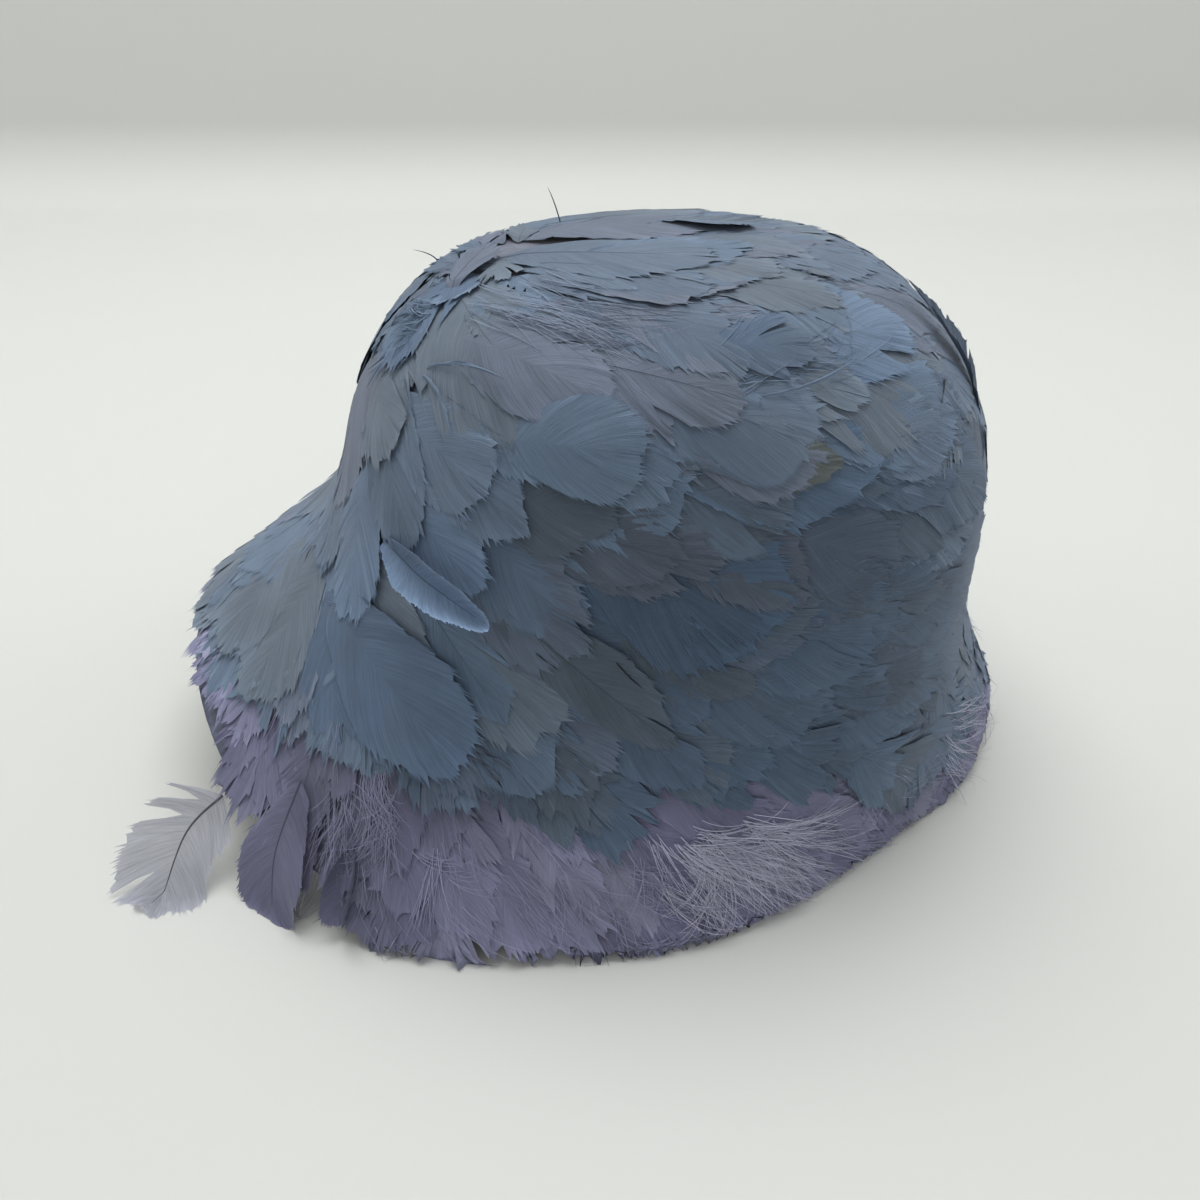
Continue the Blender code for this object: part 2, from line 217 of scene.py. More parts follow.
class Surface:
    """The felt's outer skin as a table, read at bearings and stations and found again from points."""

    step = 0.1
    last = 8.0
    end = 9.2
    rest = 0.0004
    tuck = 0.55
    columns = 360
    batch = 20000
    tiny = 1e-9

    def __init__(self, form: HatForm) -> None:
        """Fills the table from the hat's sections.

        Args:
            form: sizes of the felt.
        """
        self.form = form
        self.centre = np.array([form.shift[0], form.shift[1], 0.0])
        self.stations = np.arange(0.0, self.end + self.tiny, self.step)
        bearing = np.linspace(0.0, FULL_TURN, self.columns + 1)
        inside = self.stations[self.stations <= self.last + self.tiny]
        reach, height = (np.array([self.curve(rows, s) for s in inside]) for rows in form.sections(bearing))
        stride = np.hypot(reach[-1] - reach[-2], height[-1] - height[-2])
        slope = np.arctan2(height[-1] - height[-2], reach[-1] - reach[-2])
        for step in range(len(self.stations) - len(inside)):
            slope = np.maximum(slope - (self.tuck if step else 0.0), -math.pi)
            reach = np.vstack([reach, reach[-1] + stride * np.cos(slope)])
            height = np.vstack([height, height[-1] + stride * np.sin(slope)])
        self.reach = reach
        self.height = np.maximum(height, self.rest)
        self.points = np.stack([reach * np.sin(bearing), -reach * np.cos(bearing), self.height], axis=-1)
        down = np.gradient(self.points, axis=0)
        along = np.empty_like(self.points)
        along[:, 1:-1] = self.points[:, 2:] - self.points[:, :-2]
        along[:, 0] = along[:, -1] = self.points[:, 1] - self.points[:, -2]
        normal = np.cross(down, along)
        normal[0] = (0.0, 0.0, 1.0)
        self.normals = unit(normal)
        steps = np.linalg.norm(np.diff(self.points, axis=0), axis=-1)
        self.runs = np.vstack([np.zeros((1, self.columns + 1)), np.cumsum(steps, axis=0)])

    @staticmethod
    def curve(rows: Array, station: float) -> Array:
        """Smooth curve through section rows.

        Args:
            rows: a row for each section.
            station: place along the profile, in sections.

        Returns:
            The values at that station.
        """
        last = len(rows) - 1
        low = min(int(math.floor(station)), last - 1)
        part = station - low
        before, here, there, after = (rows[min(max(low + step, 0), last)] for step in (-1, 0, 1, 2))
        square = 2.0 * before - 5.0 * here + 4.0 * there - after
        cube = 3.0 * (here - there) + after - before
        return here + 0.5 * part * ((there - before) + part * (square + part * cube))

    def weights(self, bearing: Array, station: Array) -> tuple[Array, ...]:
        """Table rows and columns round a place.

        Args:
            bearing: bearings in radians.
            station: stations.

        Returns:
            Lower row, part above it, left column and part right of it.
        """
        row = np.clip(np.asarray(station, float) / self.step, 0.0, len(self.stations) - 1.001)
        column = (np.asarray(bearing, float) / FULL_TURN * self.columns) % self.columns
        low = row.astype(int)
        left = np.minimum(column.astype(int), self.columns - 1)
        return low, row - low, left, column - left

    def read(self, bearing: Array, station: Array) -> tuple[Array, Array]:
        """Points and outward directions at bearings and stations.

        Args:
            bearing: bearings in radians.
            station: stations.

        Returns:
            Points in the row frame and unit normals.
        """
        low, up, left, right = self.weights(bearing, station)
        up, right = up[..., None], right[..., None]
        found = []
        for table in (self.points, self.normals):
            across = [table[row, left] * (1 - right) + table[row, left + 1] * right for row in (low, low + 1)]
            found.append(across[0] * (1 - up) + across[1] * up)
        return found[0] + self.centre, unit(found[1])

    def run(self, bearing: Array, station: Array) -> Array:
        """Distance in metres down the skin from the crown's centre to each station."""
        low, up, left, _ = self.weights(bearing, station)
        return self.runs[low, left] * (1 - up) + self.runs[low + 1, left] * up

    def find(self, points: Array) -> tuple[Array, Array]:
        """Bearings and stations of the skin nearest to points.

        Args:
            points: an array of points in the row frame.

        Returns:
            Bearing and station of each.
        """
        x, y, z = (points.reshape(-1, 3) - self.centre).T
        bearing = np.arctan2(x, -y) % FULL_TURN
        parts = [slice(start, start + self.batch) for start in range(0, len(x), self.batch)]
        station = [self.nearest(bearing[part], np.hypot(x[part], y[part]), z[part]) for part in parts]
        return bearing.reshape(points.shape[:-1]), np.concatenate(station).reshape(points.shape[:-1])

    def nearest(self, bearing: Array, reach: Array, height: Array) -> Array:
        """Stations nearest to points given by reach and height.

        Args:
            bearing: bearings in radians.
            reach: distances from the hat's axis.
            height: heights above the table.

        Returns:
            One station for each point.
        """
        _, _, left, right = self.weights(bearing, np.zeros_like(bearing))
        tables = (self.reach, self.height)
        out, up = (table[:, left] * (1 - right) + table[:, left + 1] * right for table in tables)
        row = np.argmin((out - reach) ** 2 + (up - height) ** 2, axis=0)
        each = np.arange(len(reach))
        best, station = np.full(len(reach), np.inf), self.stations[row]
        for low in (np.maximum(row - 1, 0), np.minimum(row, len(self.stations) - 2)):
            run_out, run_up = out[low + 1, each] - out[low, each], up[low + 1, each] - up[low, each]
            gain_out, gain_up = reach - out[low, each], height - up[low, each]
            share = (gain_out * run_out + gain_up * run_up) / (run_out**2 + run_up**2 + 1e-15)
            share = np.clip(share, 0.0, 1.0)
            miss = (gain_out - share * run_out) ** 2 + (gain_up - share * run_up) ** 2
            closer = miss < best
            best = np.where(closer, miss, best)
            station = np.where(closer, (low + share) * self.step, station)
        return station

    def drape(self, points: Array) -> tuple[Array, Array]:
        """Drops points onto the skin, and gives its outward directions there."""
        return self.read(*self.find(points))

    def axes(self, bearing: Array, station: Array) -> tuple[Array, ...]:
        """Directions straight down the skin and round it.

        Args:
            bearing: bearings in radians.
            station: stations.

        Returns:
            Unit vectors down and round, and the outward direction.
        """
        near = 0.02
        _, normal = self.read(bearing, station)
        low, _ = self.read(bearing, station + near)
        high, _ = self.read(bearing, np.maximum(station - near, 0.0))
        down = low - high
        down = unit(down - normal * np.sum(down * normal, axis=-1, keepdims=True))
        return down, np.cross(normal, down), normal


@dataclass(frozen=True)
class Flow:
    """Which way the feathers lie, in degrees from straight down towards the back of the hat."""

    bearings: tuple[float, ...] = (0, 20, 35, 60, 90, 120, 145, 165, 180)
    stations: tuple[float, ...] = (0.5, 1.5, 2.5, 3.5, 4.5, 5.5, 6.5, 7.5, 8.0)
    table: tuple[tuple[float, ...], ...] = (
        (180, 160, 145, 120, 90, 60, 35, 15, 0),
        (165, 145, 130, 110, 90, 68, 42, 22, 5),
        (20, 35, 85, 90, 88, 76, 60, 40, 20),
        (0, 12, 78, 86, 86, 78, 62, 45, 30),
        (0, 8, 60, 80, 82, 74, 60, 45, 32),
        (0, 5, 35, 64, 70, 64, 50, 40, 30),
        (0, 8, 22, 44, 54, 50, 44, 40, 35),
        (0, 5, 10, 22, 28, 32, 36, 38, 34),
        (0, 4, 8, 16, 20, 26, 32, 36, 34),
    )

    def heading(self, bearing: Array, station: Array) -> Array:
        """Heading at places on the hat, mirrored on the wearer's right.

        Args:
            bearing: bearings in radians.
            station: stations.

        Returns:
            Headings in radians.
        """
        turn = np.degrees(from_front(bearing))
        angles = np.radians(np.array(self.table, float))
        place = np.interp(station, self.stations, np.arange(len(self.stations)))
        low = np.minimum(place.astype(int), len(self.stations) - 2)
        share, each = place - low, np.arange(len(turn))
        parts = []
        for values in (np.cos(angles), np.sin(angles)):
            rows = np.array([np.interp(np.abs(turn), self.bearings, row) for row in values])
            parts.append(rows[low, each] * (1 - share) + rows[low + 1, each] * share)
        return np.arctan2(parts[1] * np.where(turn < 0.0, -1.0, 1.0), parts[0])


@dataclass
class Feathers:
    """Many feathers at once: each field is an array with one entry for each feather."""

    bearing: Array
    station: Array
    heading: Array
    length: Array
    half_width: Array
    bend: Array
    root_lift: Array
    tip_lift: Array
    cup: Array
    shade: Array
    shaft: Array


@dataclass(frozen=True)
class Vane:
    """How a feather's barbs are laid: angles in degrees, lifts in metres, the rest as shares."""

    rows: int = 54
    outs: tuple[float, ...] = (0.0, 0.27, 0.52, 0.74, 0.90, 1.0)
    root_angle: float = 50.0
    tip_angle: float = 10.0
    turn_in: float = 1.9
    sweep: float = 20.0
    outline: Outline = Outline.ROUND
    clump: float = 4.0
    draw: float = 0.50
    splits: float = 0.7
    split_angle: float = 3.5
    fray: float = 0.45
    uneven: float = 0.012
    clump_uneven: float = 0.026
    clump_lift: float = 0.00010
    clump_tilt: float = 0.00018
    ripple: float = 0.00014
    tilt: float = 0.026
    edge_curl: float = 0.0002
    streak: float = 0.030
    # Painted highlight: barbs drawn paler towards their outer ends, along the fringe.
    pale_edge: float = 0.22
    root_width: float = 0.35
    fan_root_width: float = 0.80
    widest: float = 0.45
    narrowing: float = 1.8
    first_cut: int = 4
    cut_rows: tuple[float, float] = (2.0, 7.0)
    cut_power: tuple[float, float] = (0.25, 1.5)
    partings: tuple[tuple[int, float], ...] = ()

    @property
    def steps(self) -> int:
        """Number of steps from the quill to the fringe's tips."""
        return len(self.outs) - 1

    @property
    def along(self) -> Array:
        """Shares of the quill's length at which its barbs leave."""
        return np.linspace(0.0, 1.0, self.rows + 1)

    def width(self, along: Array) -> Array:
        """Barb length at places along the quill.

        Args:
            along: shares of the quill's length.

        Returns:
            Shares of the feather's half width.
        """
        start = self.fan_root_width if self.outline is Outline.FAN else self.root_width
        rise = start + (1.0 - start) * np.sin(np.clip(along / self.widest, 0.0, 1.0) * math.pi / 2.0)
        past = np.clip((along - self.widest) / (1.0 - self.widest), 0.0, 1.0)
        return rise * (1.0 - (1.0 - self.outline.value) * past**self.narrowing)


def added(name: str, data: bpy.types.ID) -> bpy.types.Object:
    """Puts a new object into the scene.

    Args:
        name: its name.
        data: its mesh, lamp or camera.

    Returns:
        The object.
    """
    thing = bpy.data.objects.new(name, data)
    bpy.context.scene.collection.objects.link(thing)
    return thing


class Weave:
    """Gathers vertices, faces, barb coordinates and tints into one mesh."""

    def __init__(self) -> None:
        """Starts empty."""
        self.vertices: list[Array] = []
        self.faces: list[Array] = []
        self.places: list[Array] = []
        self.tints: list[Array] = []
        self.count = 0

    def add(self, vertices: Array, faces: Array, places: Array, tints: Array) -> None:
        """Adds a patch.

        Args:
            vertices: points, one row each.
            faces: corners as rows of three or four indices into the patch, minus one for no fourth.
            places: two barb coordinates for each vertex.
            tints: colour of each vertex.
        """
        self.vertices.append(vertices)
        self.faces.append(np.where(faces >= 0, faces + self.count, -1))
        self.places.append(places)
        self.tints.append(tints)
        self.count += len(vertices)

    def strip(self, lines: list[Array], shade: Array) -> None:
        """Adds a strip between lines of points that run side by side.

        Args:
            lines: the lines, each with a row for each point.
            shade: its colour.
        """
        points = np.stack(lines, 1)
        count = points.shape[0] * points.shape[1]
        number = np.arange(count).reshape(points.shape[:2])
        faces = np.stack([number[:-1, :-1], number[:-1, 1:], number[1:, 1:], number[1:, :-1]], -1)
        tints = np.tile(shade, (count, 1))
        self.add(points.reshape(-1, 3), faces.reshape(-1, 4), np.zeros((count, 2)), tints)

    def strand(self, points: Array, facing: Array, width: float, shade: Array) -> None:
        """Adds a thin curved barb on its own.

        Args:
            points: points along it.
            facing: directions that its face looks in.
            width: its width at the root.
            shade: its colour.
        """
        ahead = unit(np.gradient(points, axis=0))
        across = np.cross(facing, ahead)
        across /= np.linalg.norm(across, axis=-1, keepdims=True) + 1e-12
        half = width / 2.0 * (1.0 - np.linspace(0.0, 1.0, len(points)) ** 3)[:, None] + 0.00003
        self.strip([points - across * half, points + across * half], shade)

    def build(self, name: str, material: bpy.types.Material) -> bpy.types.Object:
        """Makes the object.

        Args:
            name: the piece's name.
            material: its finish.

        Returns:
            The new object.
        """
        vertices = np.concatenate(self.vertices)
        low = np.minimum(vertices[:, 2] / FLOOR_EASE - 1.0, 0.0)
        vertices[:, 2] = np.where(low < 0.0, FLOOR_EASE * np.exp(np.maximum(low, LEAST_EASE)), vertices[:, 2])
        faces = np.concatenate(self.faces)
        four = faces[:, 3] >= 0
        loops = np.concatenate([faces[four].ravel(), faces[~four][:, :3].ravel()])
        sizes = np.concatenate([np.full(four.sum(), 4), np.full((~four).sum(), 3)])
        starts = np.concatenate([[0], np.cumsum(sizes)[:-1]])
        mesh = bpy.data.meshes.new(name)
        mesh.vertices.add(len(vertices))
        mesh.vertices.foreach_set("co", vertices.ravel())
        mesh.loops.add(len(loops))
        mesh.loops.foreach_set("vertex_index", loops.astype(np.int32))
        mesh.polygons.add(len(sizes))
        mesh.polygons.foreach_set("loop_start", starts.astype(np.int32))
        mesh.polygons.foreach_set("use_smooth", np.ones(len(sizes), bool))
        mesh.update(calc_edges=True)
        layer = mesh.uv_layers.new(name="barbs")
        layer.data.foreach_set("uv", np.concatenate(self.places)[loops].ravel())
        tint = mesh.color_attributes.new(name="tint", type="FLOAT_COLOR", domain="POINT")
        colours = np.concatenate(self.tints)
        tint.data.foreach_set("color", np.hstack([colours, np.ones((len(colours), 1))]).ravel())
        mesh.materials.append(material)
        return added(name, mesh)


def turned(vector: Array, axis: Array, angle: Array) -> Array:
    """Turns vectors about unit axes square to them, by angles in radians."""
    angle = np.asarray(angle)[..., None]
    return vector * np.cos(angle) + np.cross(axis, vector) * np.sin(angle)


def unit(vector: Array) -> Array:
    """The same directions at a length of one."""
    return vector / np.linalg.norm(vector, axis=-1, keepdims=True)


def spread_out(values: Array) -> Array:
    """A value for each feather, made to fit an array by feather, side, row and step."""
    return values[:, None, None, None]


def flattened(vector: Array, normal: Array) -> Array:
    """Unit vectors laid into the planes square to the normals."""
    flat = vector - normal * np.sum(vector * normal, axis=-1, keepdims=True)
    return flat / (np.linalg.norm(flat, axis=-1, keepdims=True) + 1e-12)


@dataclass(frozen=True)
class Spot:
    """A place on a free feather's quill: bearing in degrees, station, and metres off, outward and down."""

    bearing: float
    station: float
    off: float = 0.0
    out: float = 0.0
    drop: float = 0.0


@dataclass(frozen=True)
class FreeFeather:
    """A feather that stands clear of the hat, on a quill through a few spots."""

    node: str
    spots: tuple[Spot, ...]
    face: tuple[float, float, float]
    half_width: float
    shade: Shade
    vane: Vane
    fold: tuple[float, float] = (0.0, 0.0)
    cup: float = 0.0
    shaft: float = 0.0004
    shaft_tone: float = 0.55
    glow: float = 0.0
    samples: int = 60
    above_table: float = 0.0005

    def spine(self, surface: Surface, rows: int) -> Array:
        """Points along the quill.

        Args:
            surface: the skin that the spots refer to.
            rows: number of steps.

        Returns:
            Evenly spaced points in the row frame.
        """
        knots = []
        for spot in self.spots:
            turn = math.radians(spot.bearing)
            point, normal = surface.read(np.array([turn]), np.array([spot.station]))
            away = np.array([math.sin(turn), -math.cos(turn), 0.0])
            knots.append(point[0] + normal[0] * spot.off + away * spot.out - np.array([0.0, 0.0, spot.drop]))
        places = np.linspace(0.0, len(knots) - 1.0, self.samples)
        line = np.array([Surface.curve(np.array(knots), place) for place in places])
        line[:, 2] = np.maximum(line[:, 2], self.above_table)
        run = np.concatenate([[0.0], np.cumsum(np.linalg.norm(np.diff(line, axis=0), axis=1))])
        even = np.linspace(0.0, run[-1], rows + 1)
        return np.stack([np.interp(even, run, line[:, axis]) for axis in range(3)], 1)


@dataclass
class Comb:
    """How the barbs of many feathers clump: each array has an entry for each feather, side and row."""

    middle: Array
    turn: Array
    opens: Array
    lift: Array
    size: Array
    streak: Array


@dataclass
class Loom:
    """Lays feathers on the hat: a quill each, and barbs that leave it on both sides."""

    surface: Surface
    rng: np.random.Generator
    pinned: float = 0.30
    freed_after: float = 0.22
    least_lift: float = 0.0002
    shaft_tone: float = 0.72
    # Painted highlight: extra paleness of the single barb tips at the fringe.
    tip_gain: float = 1.3
    clump_streak: float = 1.3
    slow_beat: float = 9.0
    slow_size: float = 0.05
    flattest: float = 0.62
    gathering: float = 4.0
    round_lean: float = 0.5
    farthest: float = 1.1
    beats: tuple[float, float] = (1.0, 3.0)
    clump_rise: float = 1.5
    fold_rise: float = 0.6
    root_light: float = 0.93
    tip_light: float = 0.06
    apart: tuple[float, float] = (3.7, 1.9)
    shaft_taper: float = 0.75
    shaft_height: float = 1.1

    def walk(
        self, bearing: Array, station: Array, turn: Array, length: Array, bend: Array, steps: int
    ) -> tuple[Array, ...]:
        """Walks lines over the skin.

        Args:
            bearing: bearings of their roots.
            station: stations of their roots.
            turn: headings there, in radians from straight down.
            length: lengths in metres.
            bend: how far each turns in all, in radians.
            steps: number of steps.

        Returns:
            Points, headings and outward directions, a row for each step.
        """
        down, along, _ = self.surface.axes(bearing, station)
        point, normal = self.surface.read(bearing, station)
        heading = down * np.cos(turn)[:, None] + along * np.sin(turn)[:, None]
        track = [(point, heading, normal)]
        for _ in range(steps):
            heading = turned(heading, normal, bend / steps)
            point, normal = self.surface.drape(point + heading * (length / steps)[:, None])
            heading = flattened(heading, normal)
            track.append((point, heading, normal))
        return tuple(np.stack(rows, 1) for rows in zip(*track))

    def comb(self, count: int, vane: Vane) -> Comb:
        """Groups barbs into clumps and chooses where vanes part.

        Args:
            count: number of feathers.
            vane: how the barbs are laid.

        Returns:
            The clumps of every barb.
        """
        draw, rows = self.rng, np.arange(vane.rows + 1)
        shape = (count, 2, vane.rows + 1)
        fresh = draw.random((count, 2, vane.rows)) < 1.0 / vane.clump
        opens = np.where(fresh, draw.integers(vane.steps - 1, vane.steps + 1, fresh.shape), vane.steps + 1)
        turn = np.zeros(shape)
        for feather, side in np.ndindex(count, 2):
            cuts = list(draw.integers(vane.first_cut, vane.rows - 1, draw.poisson(vane.splits)))
            set_cuts = [round(share * vane.rows) for edge, share in vane.partings if edge == side]
            for cut in cuts + set_cuts:
                reach = draw.uniform(*vane.cut_rows)
                power = math.radians(vane.split_angle) * draw.uniform(*vane.cut_power)
                past = cut + 0.5 - rows
                turn[feather, side] += np.sign(past) * power * np.exp(-np.abs(past) / reach)
                opens[feather, side, cut] = 1 if cut in set_cuts else draw.integers(1, vane.steps - 1)
                fresh[feather, side, cut] = True
        number = np.concatenate([np.zeros((count, 2, 1), int), np.cumsum(fresh, axis=2)], axis=2)
        number += np.arange(count * 2).reshape(count, 2, 1) * (vane.rows + 1)
        first, last = np.full(number.size, vane.rows), np.zeros(number.size, int)
        np.minimum.at(first, number, np.broadcast_to(rows, shape))
        np.maximum.at(last, number, np.broadcast_to(rows, shape))
        middle = (first[number] + last[number]) / 2.0
        across = (rows - middle) / np.maximum((last - first)[number] / 2.0, 1.0)
        lift, tilt, size, streak = draw.normal(0.0, 1.0, (4, number.size))[:, number]
        return Comb(
            middle=np.rint(middle).astype(int),
            turn=turn,
            opens=opens,
            lift=vane.clump_lift * lift + vane.clump_tilt * tilt * across,
            size=1.0 + vane.clump_uneven * size + draw.normal(0.0, vane.uneven, shape),
            streak=1.0 + self.clump_streak * vane.streak * streak + draw.normal(0.0, vane.streak, shape),
        )

    def barbs(
        self, quill: Array, ahead: Array, outward: Array, half: Array, vane: Vane, drape: bool
    ) -> tuple[Array, Array, Comb]:
        """Walks barbs away from the quills on both sides.

        Args:
            quill: points along the quills.
            ahead: headings along them.
            outward: outward directions along them.
            half: half widths.
            vane: how the barbs are laid.
            drape: whether each step is dropped onto the skin.

        Returns:
            Points by feather, side, row and step, the skin's outward directions there, and the clumps.
        """
        along, comb = vane.along, self.comb(len(quill), vane)
        angle = np.radians(vane.root_angle + (vane.tip_angle - vane.root_angle) * along**vane.turn_in)
        slow = self.rng.uniform(0.0, FULL_TURN, (len(quill), 2, 1)) + along * self.slow_beat
        barb = half[:, None, None] * vane.width(along) * comb.size * (1.0 + self.slow_size * np.sin(slow))
        barb = barb / np.maximum(np.sin(angle * 0.85), self.flattest)
        side = np.array([-1.0, 1.0])[None, :, None]
        point, ahead, normal = (np.repeat(rows[:, None], 2, axis=1) for rows in (quill, ahead, outward))
        heading = turned(ahead, normal, side * (angle + comb.turn))
        points, normals = [point], [normal]
        for part in np.diff(vane.outs):
            point = point + heading * (barb * part)[..., None]
            if drape:
                point, normal = self.surface.drape(point)
                heading = flattened(heading, normal)
            heading = turned(heading, normal, -side * math.radians(vane.sweep) * part * np.ones_like(barb))
            points.append(point)
            normals.append(normal)
        place = np.stack(points, 3)
        centre = np.take_along_axis(place, comb.middle[..., None, None], axis=2)
        place = place + (centre - place) * (vane.draw * np.array(vane.outs) ** self.gathering)[:, None]
        place[:, :, -1] = place[:, :, -1].mean(axis=1, keepdims=True)
        feather, edge, cut = np.nonzero(comb.opens <= vane.steps)
        step = comb.opens[feather, edge, cut]
        shared = (place[feather, edge, cut, step] + place[feather, edge, cut + 1, step]) / 2.0
        place[feather, edge, cut, step] = place[feather, edge, cut + 1, step] = shared
        return place, np.stack(normals, 3), comb

    def lay(self, weave: Weave, feathers: Feathers, vane: Vane) -> None:
        """Adds the vanes and shafts of many feathers to a mesh.

        Args:
            weave: the mesh being gathered.
            feathers: the feathers.
            vane: how their barbs are laid.
        """
        bearing, station, length = feathers.bearing, feathers.station, feathers.length
        turn, reached = feathers.heading, length * QUILL_SHARE
        quill, ahead, outward = self.walk(bearing, station, turn, reached, feathers.bend, vane.rows)
        along, out = vane.along[None, None, :, None], np.array(vane.outs)
        place, normal, comb = self.barbs(quill, ahead, outward, feathers.half_width, vane, True)
        offset = place - quill[:, None, :1, None, :]
        reach = np.sum(offset * ahead[:, None, :1, None, :], -1) / spread_out(length)
        travelled = np.maximum(reach, along * QUILL_SHARE)
        down, round_way, _ = self.surface.axes(bearing, station)
        lean = down + self.round_lean * round_way * np.sign(np.sin(bearing))[:, None]
        lean -= ahead[:, 0] * np.sum(lean * ahead[:, 0], -1, keepdims=True)
        across = np.sum(offset * lean[:, None, None, None, :], -1)
        gain = spread_out(feathers.tip_lift - feathers.root_lift) * np.clip(travelled, 0.0, self.farthest)
        lift = spread_out(feathers.root_lift) + gain
        lift = lift + vane.tilt * across + spread_out(feathers.cup) * out**2
        each = (len(bearing), 2, 1, 1)
        wave, beat = self.rng.uniform(0.0, FULL_TURN, each), self.rng.uniform(*self.beats, each)
        swell = np.sin(wave + beat * FULL_TURN * along + 2.0 * out)
        lift = lift + vane.ripple * swell * out + comb.lift[..., None] * out**self.clump_rise
        lift = lift + self.rng.gamma(1.0, vane.edge_curl, each) * out**4
        lift = lift * np.clip(self.pinned + travelled / self.freed_after, 0.0, 1.0)
        vertex = place + normal * np.maximum(lift, self.least_lift)[..., None]
        self.stitch(weave, feathers.shade, vane, vertex, comb)
        shade = feathers.shade * self.shaft_tone
        self.shafts(weave, shade, feathers.shaft, vertex[:, 0, :, 0], ahead, outward)

    def hang(self, weave: Weave, free: FreeFeather) -> None:
        """Adds one free feather to a mesh.

        Args:
            weave: the mesh being gathered.
            free: the feather.
        """
        vane = free.vane
        quill = free.spine(self.surface, vane.rows)[None]
        ahead = unit(np.gradient(quill, axis=1))
        outward = flattened(np.broadcast_to(np.array(free.face), ahead.shape), ahead)
        place, _, comb = self.barbs(quill, ahead, outward, np.array([free.half_width]), vane, False)
        side_way = np.cross(outward, ahead)[:, None, :, None, :]
        across = np.sum((place - quill[:, None, :, None, :]) * side_way, -1)
        along, out = vane.along[None, None, :, None], np.array(vane.outs)
        fold = np.radians(np.array(free.fold))[None, :, None, None] * out**self.fold_rise
        width = np.abs(across)
        rise = width * np.sin(fold) + free.cup * out**2 + comb.lift[..., None] * out**self.clump_rise
        rise = rise + vane.ripple * np.sin(7.0 * along + 3.0 * out) * out
        inward = (width - width * np.cos(fold)) * np.sign(across)
        vertex = place + outward[:, None, :, None, :] * rise[..., None] - side_way * inward[..., None]
        shade = np.array([free.shade.value])
        self.stitch(weave, shade, vane, vertex, comb)
        self.shafts(weave, shade * free.shaft_tone, np.array([free.shaft]), quill, ahead, outward)

    def stitch(self, weave: Weave, shade: Array, vane: Vane, vertex: Array, comb: Comb) -> None:
        """Joins barbs into vanes with a fringe of single tips.

        Args:
            weave: the mesh being gathered.
            shade: colour of each feather.
            vane: how the barbs are laid.
            vertex: points by feather, side, row and step.
            comb: how they clump.
        """
        count, rows, steps = len(vertex), vane.rows, vane.steps
        tooth = self.rng.uniform(1.0 - vane.fray, 1.0 + vane.fray, (count, 2, rows))[..., None]
        between = (vertex[:, :, :-1] + vertex[:, :, 1:]) / 2.0
        tips = between[:, :, :, -2] + (between[:, :, :, -1] - between[:, :, :, -2]) * tooth
        number = np.arange((rows + 1) * steps).reshape(rows + 1, steps)
        tip_number = (rows + 1) * steps + np.arange(rows)
        cells = np.stack([number[:-1, :-1], number[1:, :-1], number[1:, 1:], number[:-1, 1:]], -1)
        teeth = np.stack([number[:-1, -1], number[1:, -1], tip_number, np.full(rows, -1)], -1)
        along, out = vane.along, np.array(vane.outs)[:steps]
        tip_places = np.stack([(along[:-1] + along[1:]) / 2.0, np.ones(rows)], -1)
        places = np.stack(np.meshgrid(along, out, indexing="ij"), -1).reshape(-1, 2)
        places = np.concatenate([places, tip_places])
        # Barbs darker towards the root and, as a painted highlight, paler at the fringe; streaks vary at
        # random.
        gain = self.root_light + self.tip_light * along[:, None] + vane.pale_edge * out[None, :] ** 4
        tip_gain = 1.0 + self.tip_gain * vane.pale_edge
        for feather, side in np.ndindex(count, 2):
            opens, streak = comb.opens[feather, side], comb.streak[feather, side]
            whole = opens[:, None] > np.arange(steps - 1)
            faces = np.concatenate([cells[whole], teeth[opens > steps]])
            if side == 0:
                faces = np.where(faces[:, 3:] >= 0, faces[:, ::-1], faces[:, [2, 1, 0, 3]])
            light = np.concatenate([(streak[:, None] * gain).ravel(), streak[:-1] * tip_gain])
            weave.add(
                np.concatenate([vertex[feather, side, :, :steps].reshape(-1, 3), tips[feather, side]]),
                faces,
                places + np.array([feather * self.apart[0] + side * self.apart[1], 0.0]),
                shade[feather] * light[:, None],
            )

    def shafts(
        self, weave: Weave, shade: Array, width: Array, spine: Array, ahead: Array, outward: Array
    ) -> None:
        """Adds the quill's shaft where a feather shows one.

        Args:
            weave: the mesh being gathered.
            shade: colour of each shaft.
            width: half width of each shaft at its root, or nought for none.
            spine: points along each quill.
            ahead: headings along it.
            outward: outward directions along it.
        """
        rows = spine.shape[1] - 1
        take = np.arange(0, rows + 1, 2)
        across = np.cross(outward, ahead)
        for feather in np.flatnonzero(width > 0.0):
            half = width[feather] * (1.0 - self.shaft_taper * take / rows)[:, None]
            middle, aside = spine[feather, take], across[feather, take] * half
            ridge = middle + outward[feather, take] * half * self.shaft_height
            weave.strip([middle - aside, ridge, middle + aside], shade[feather])


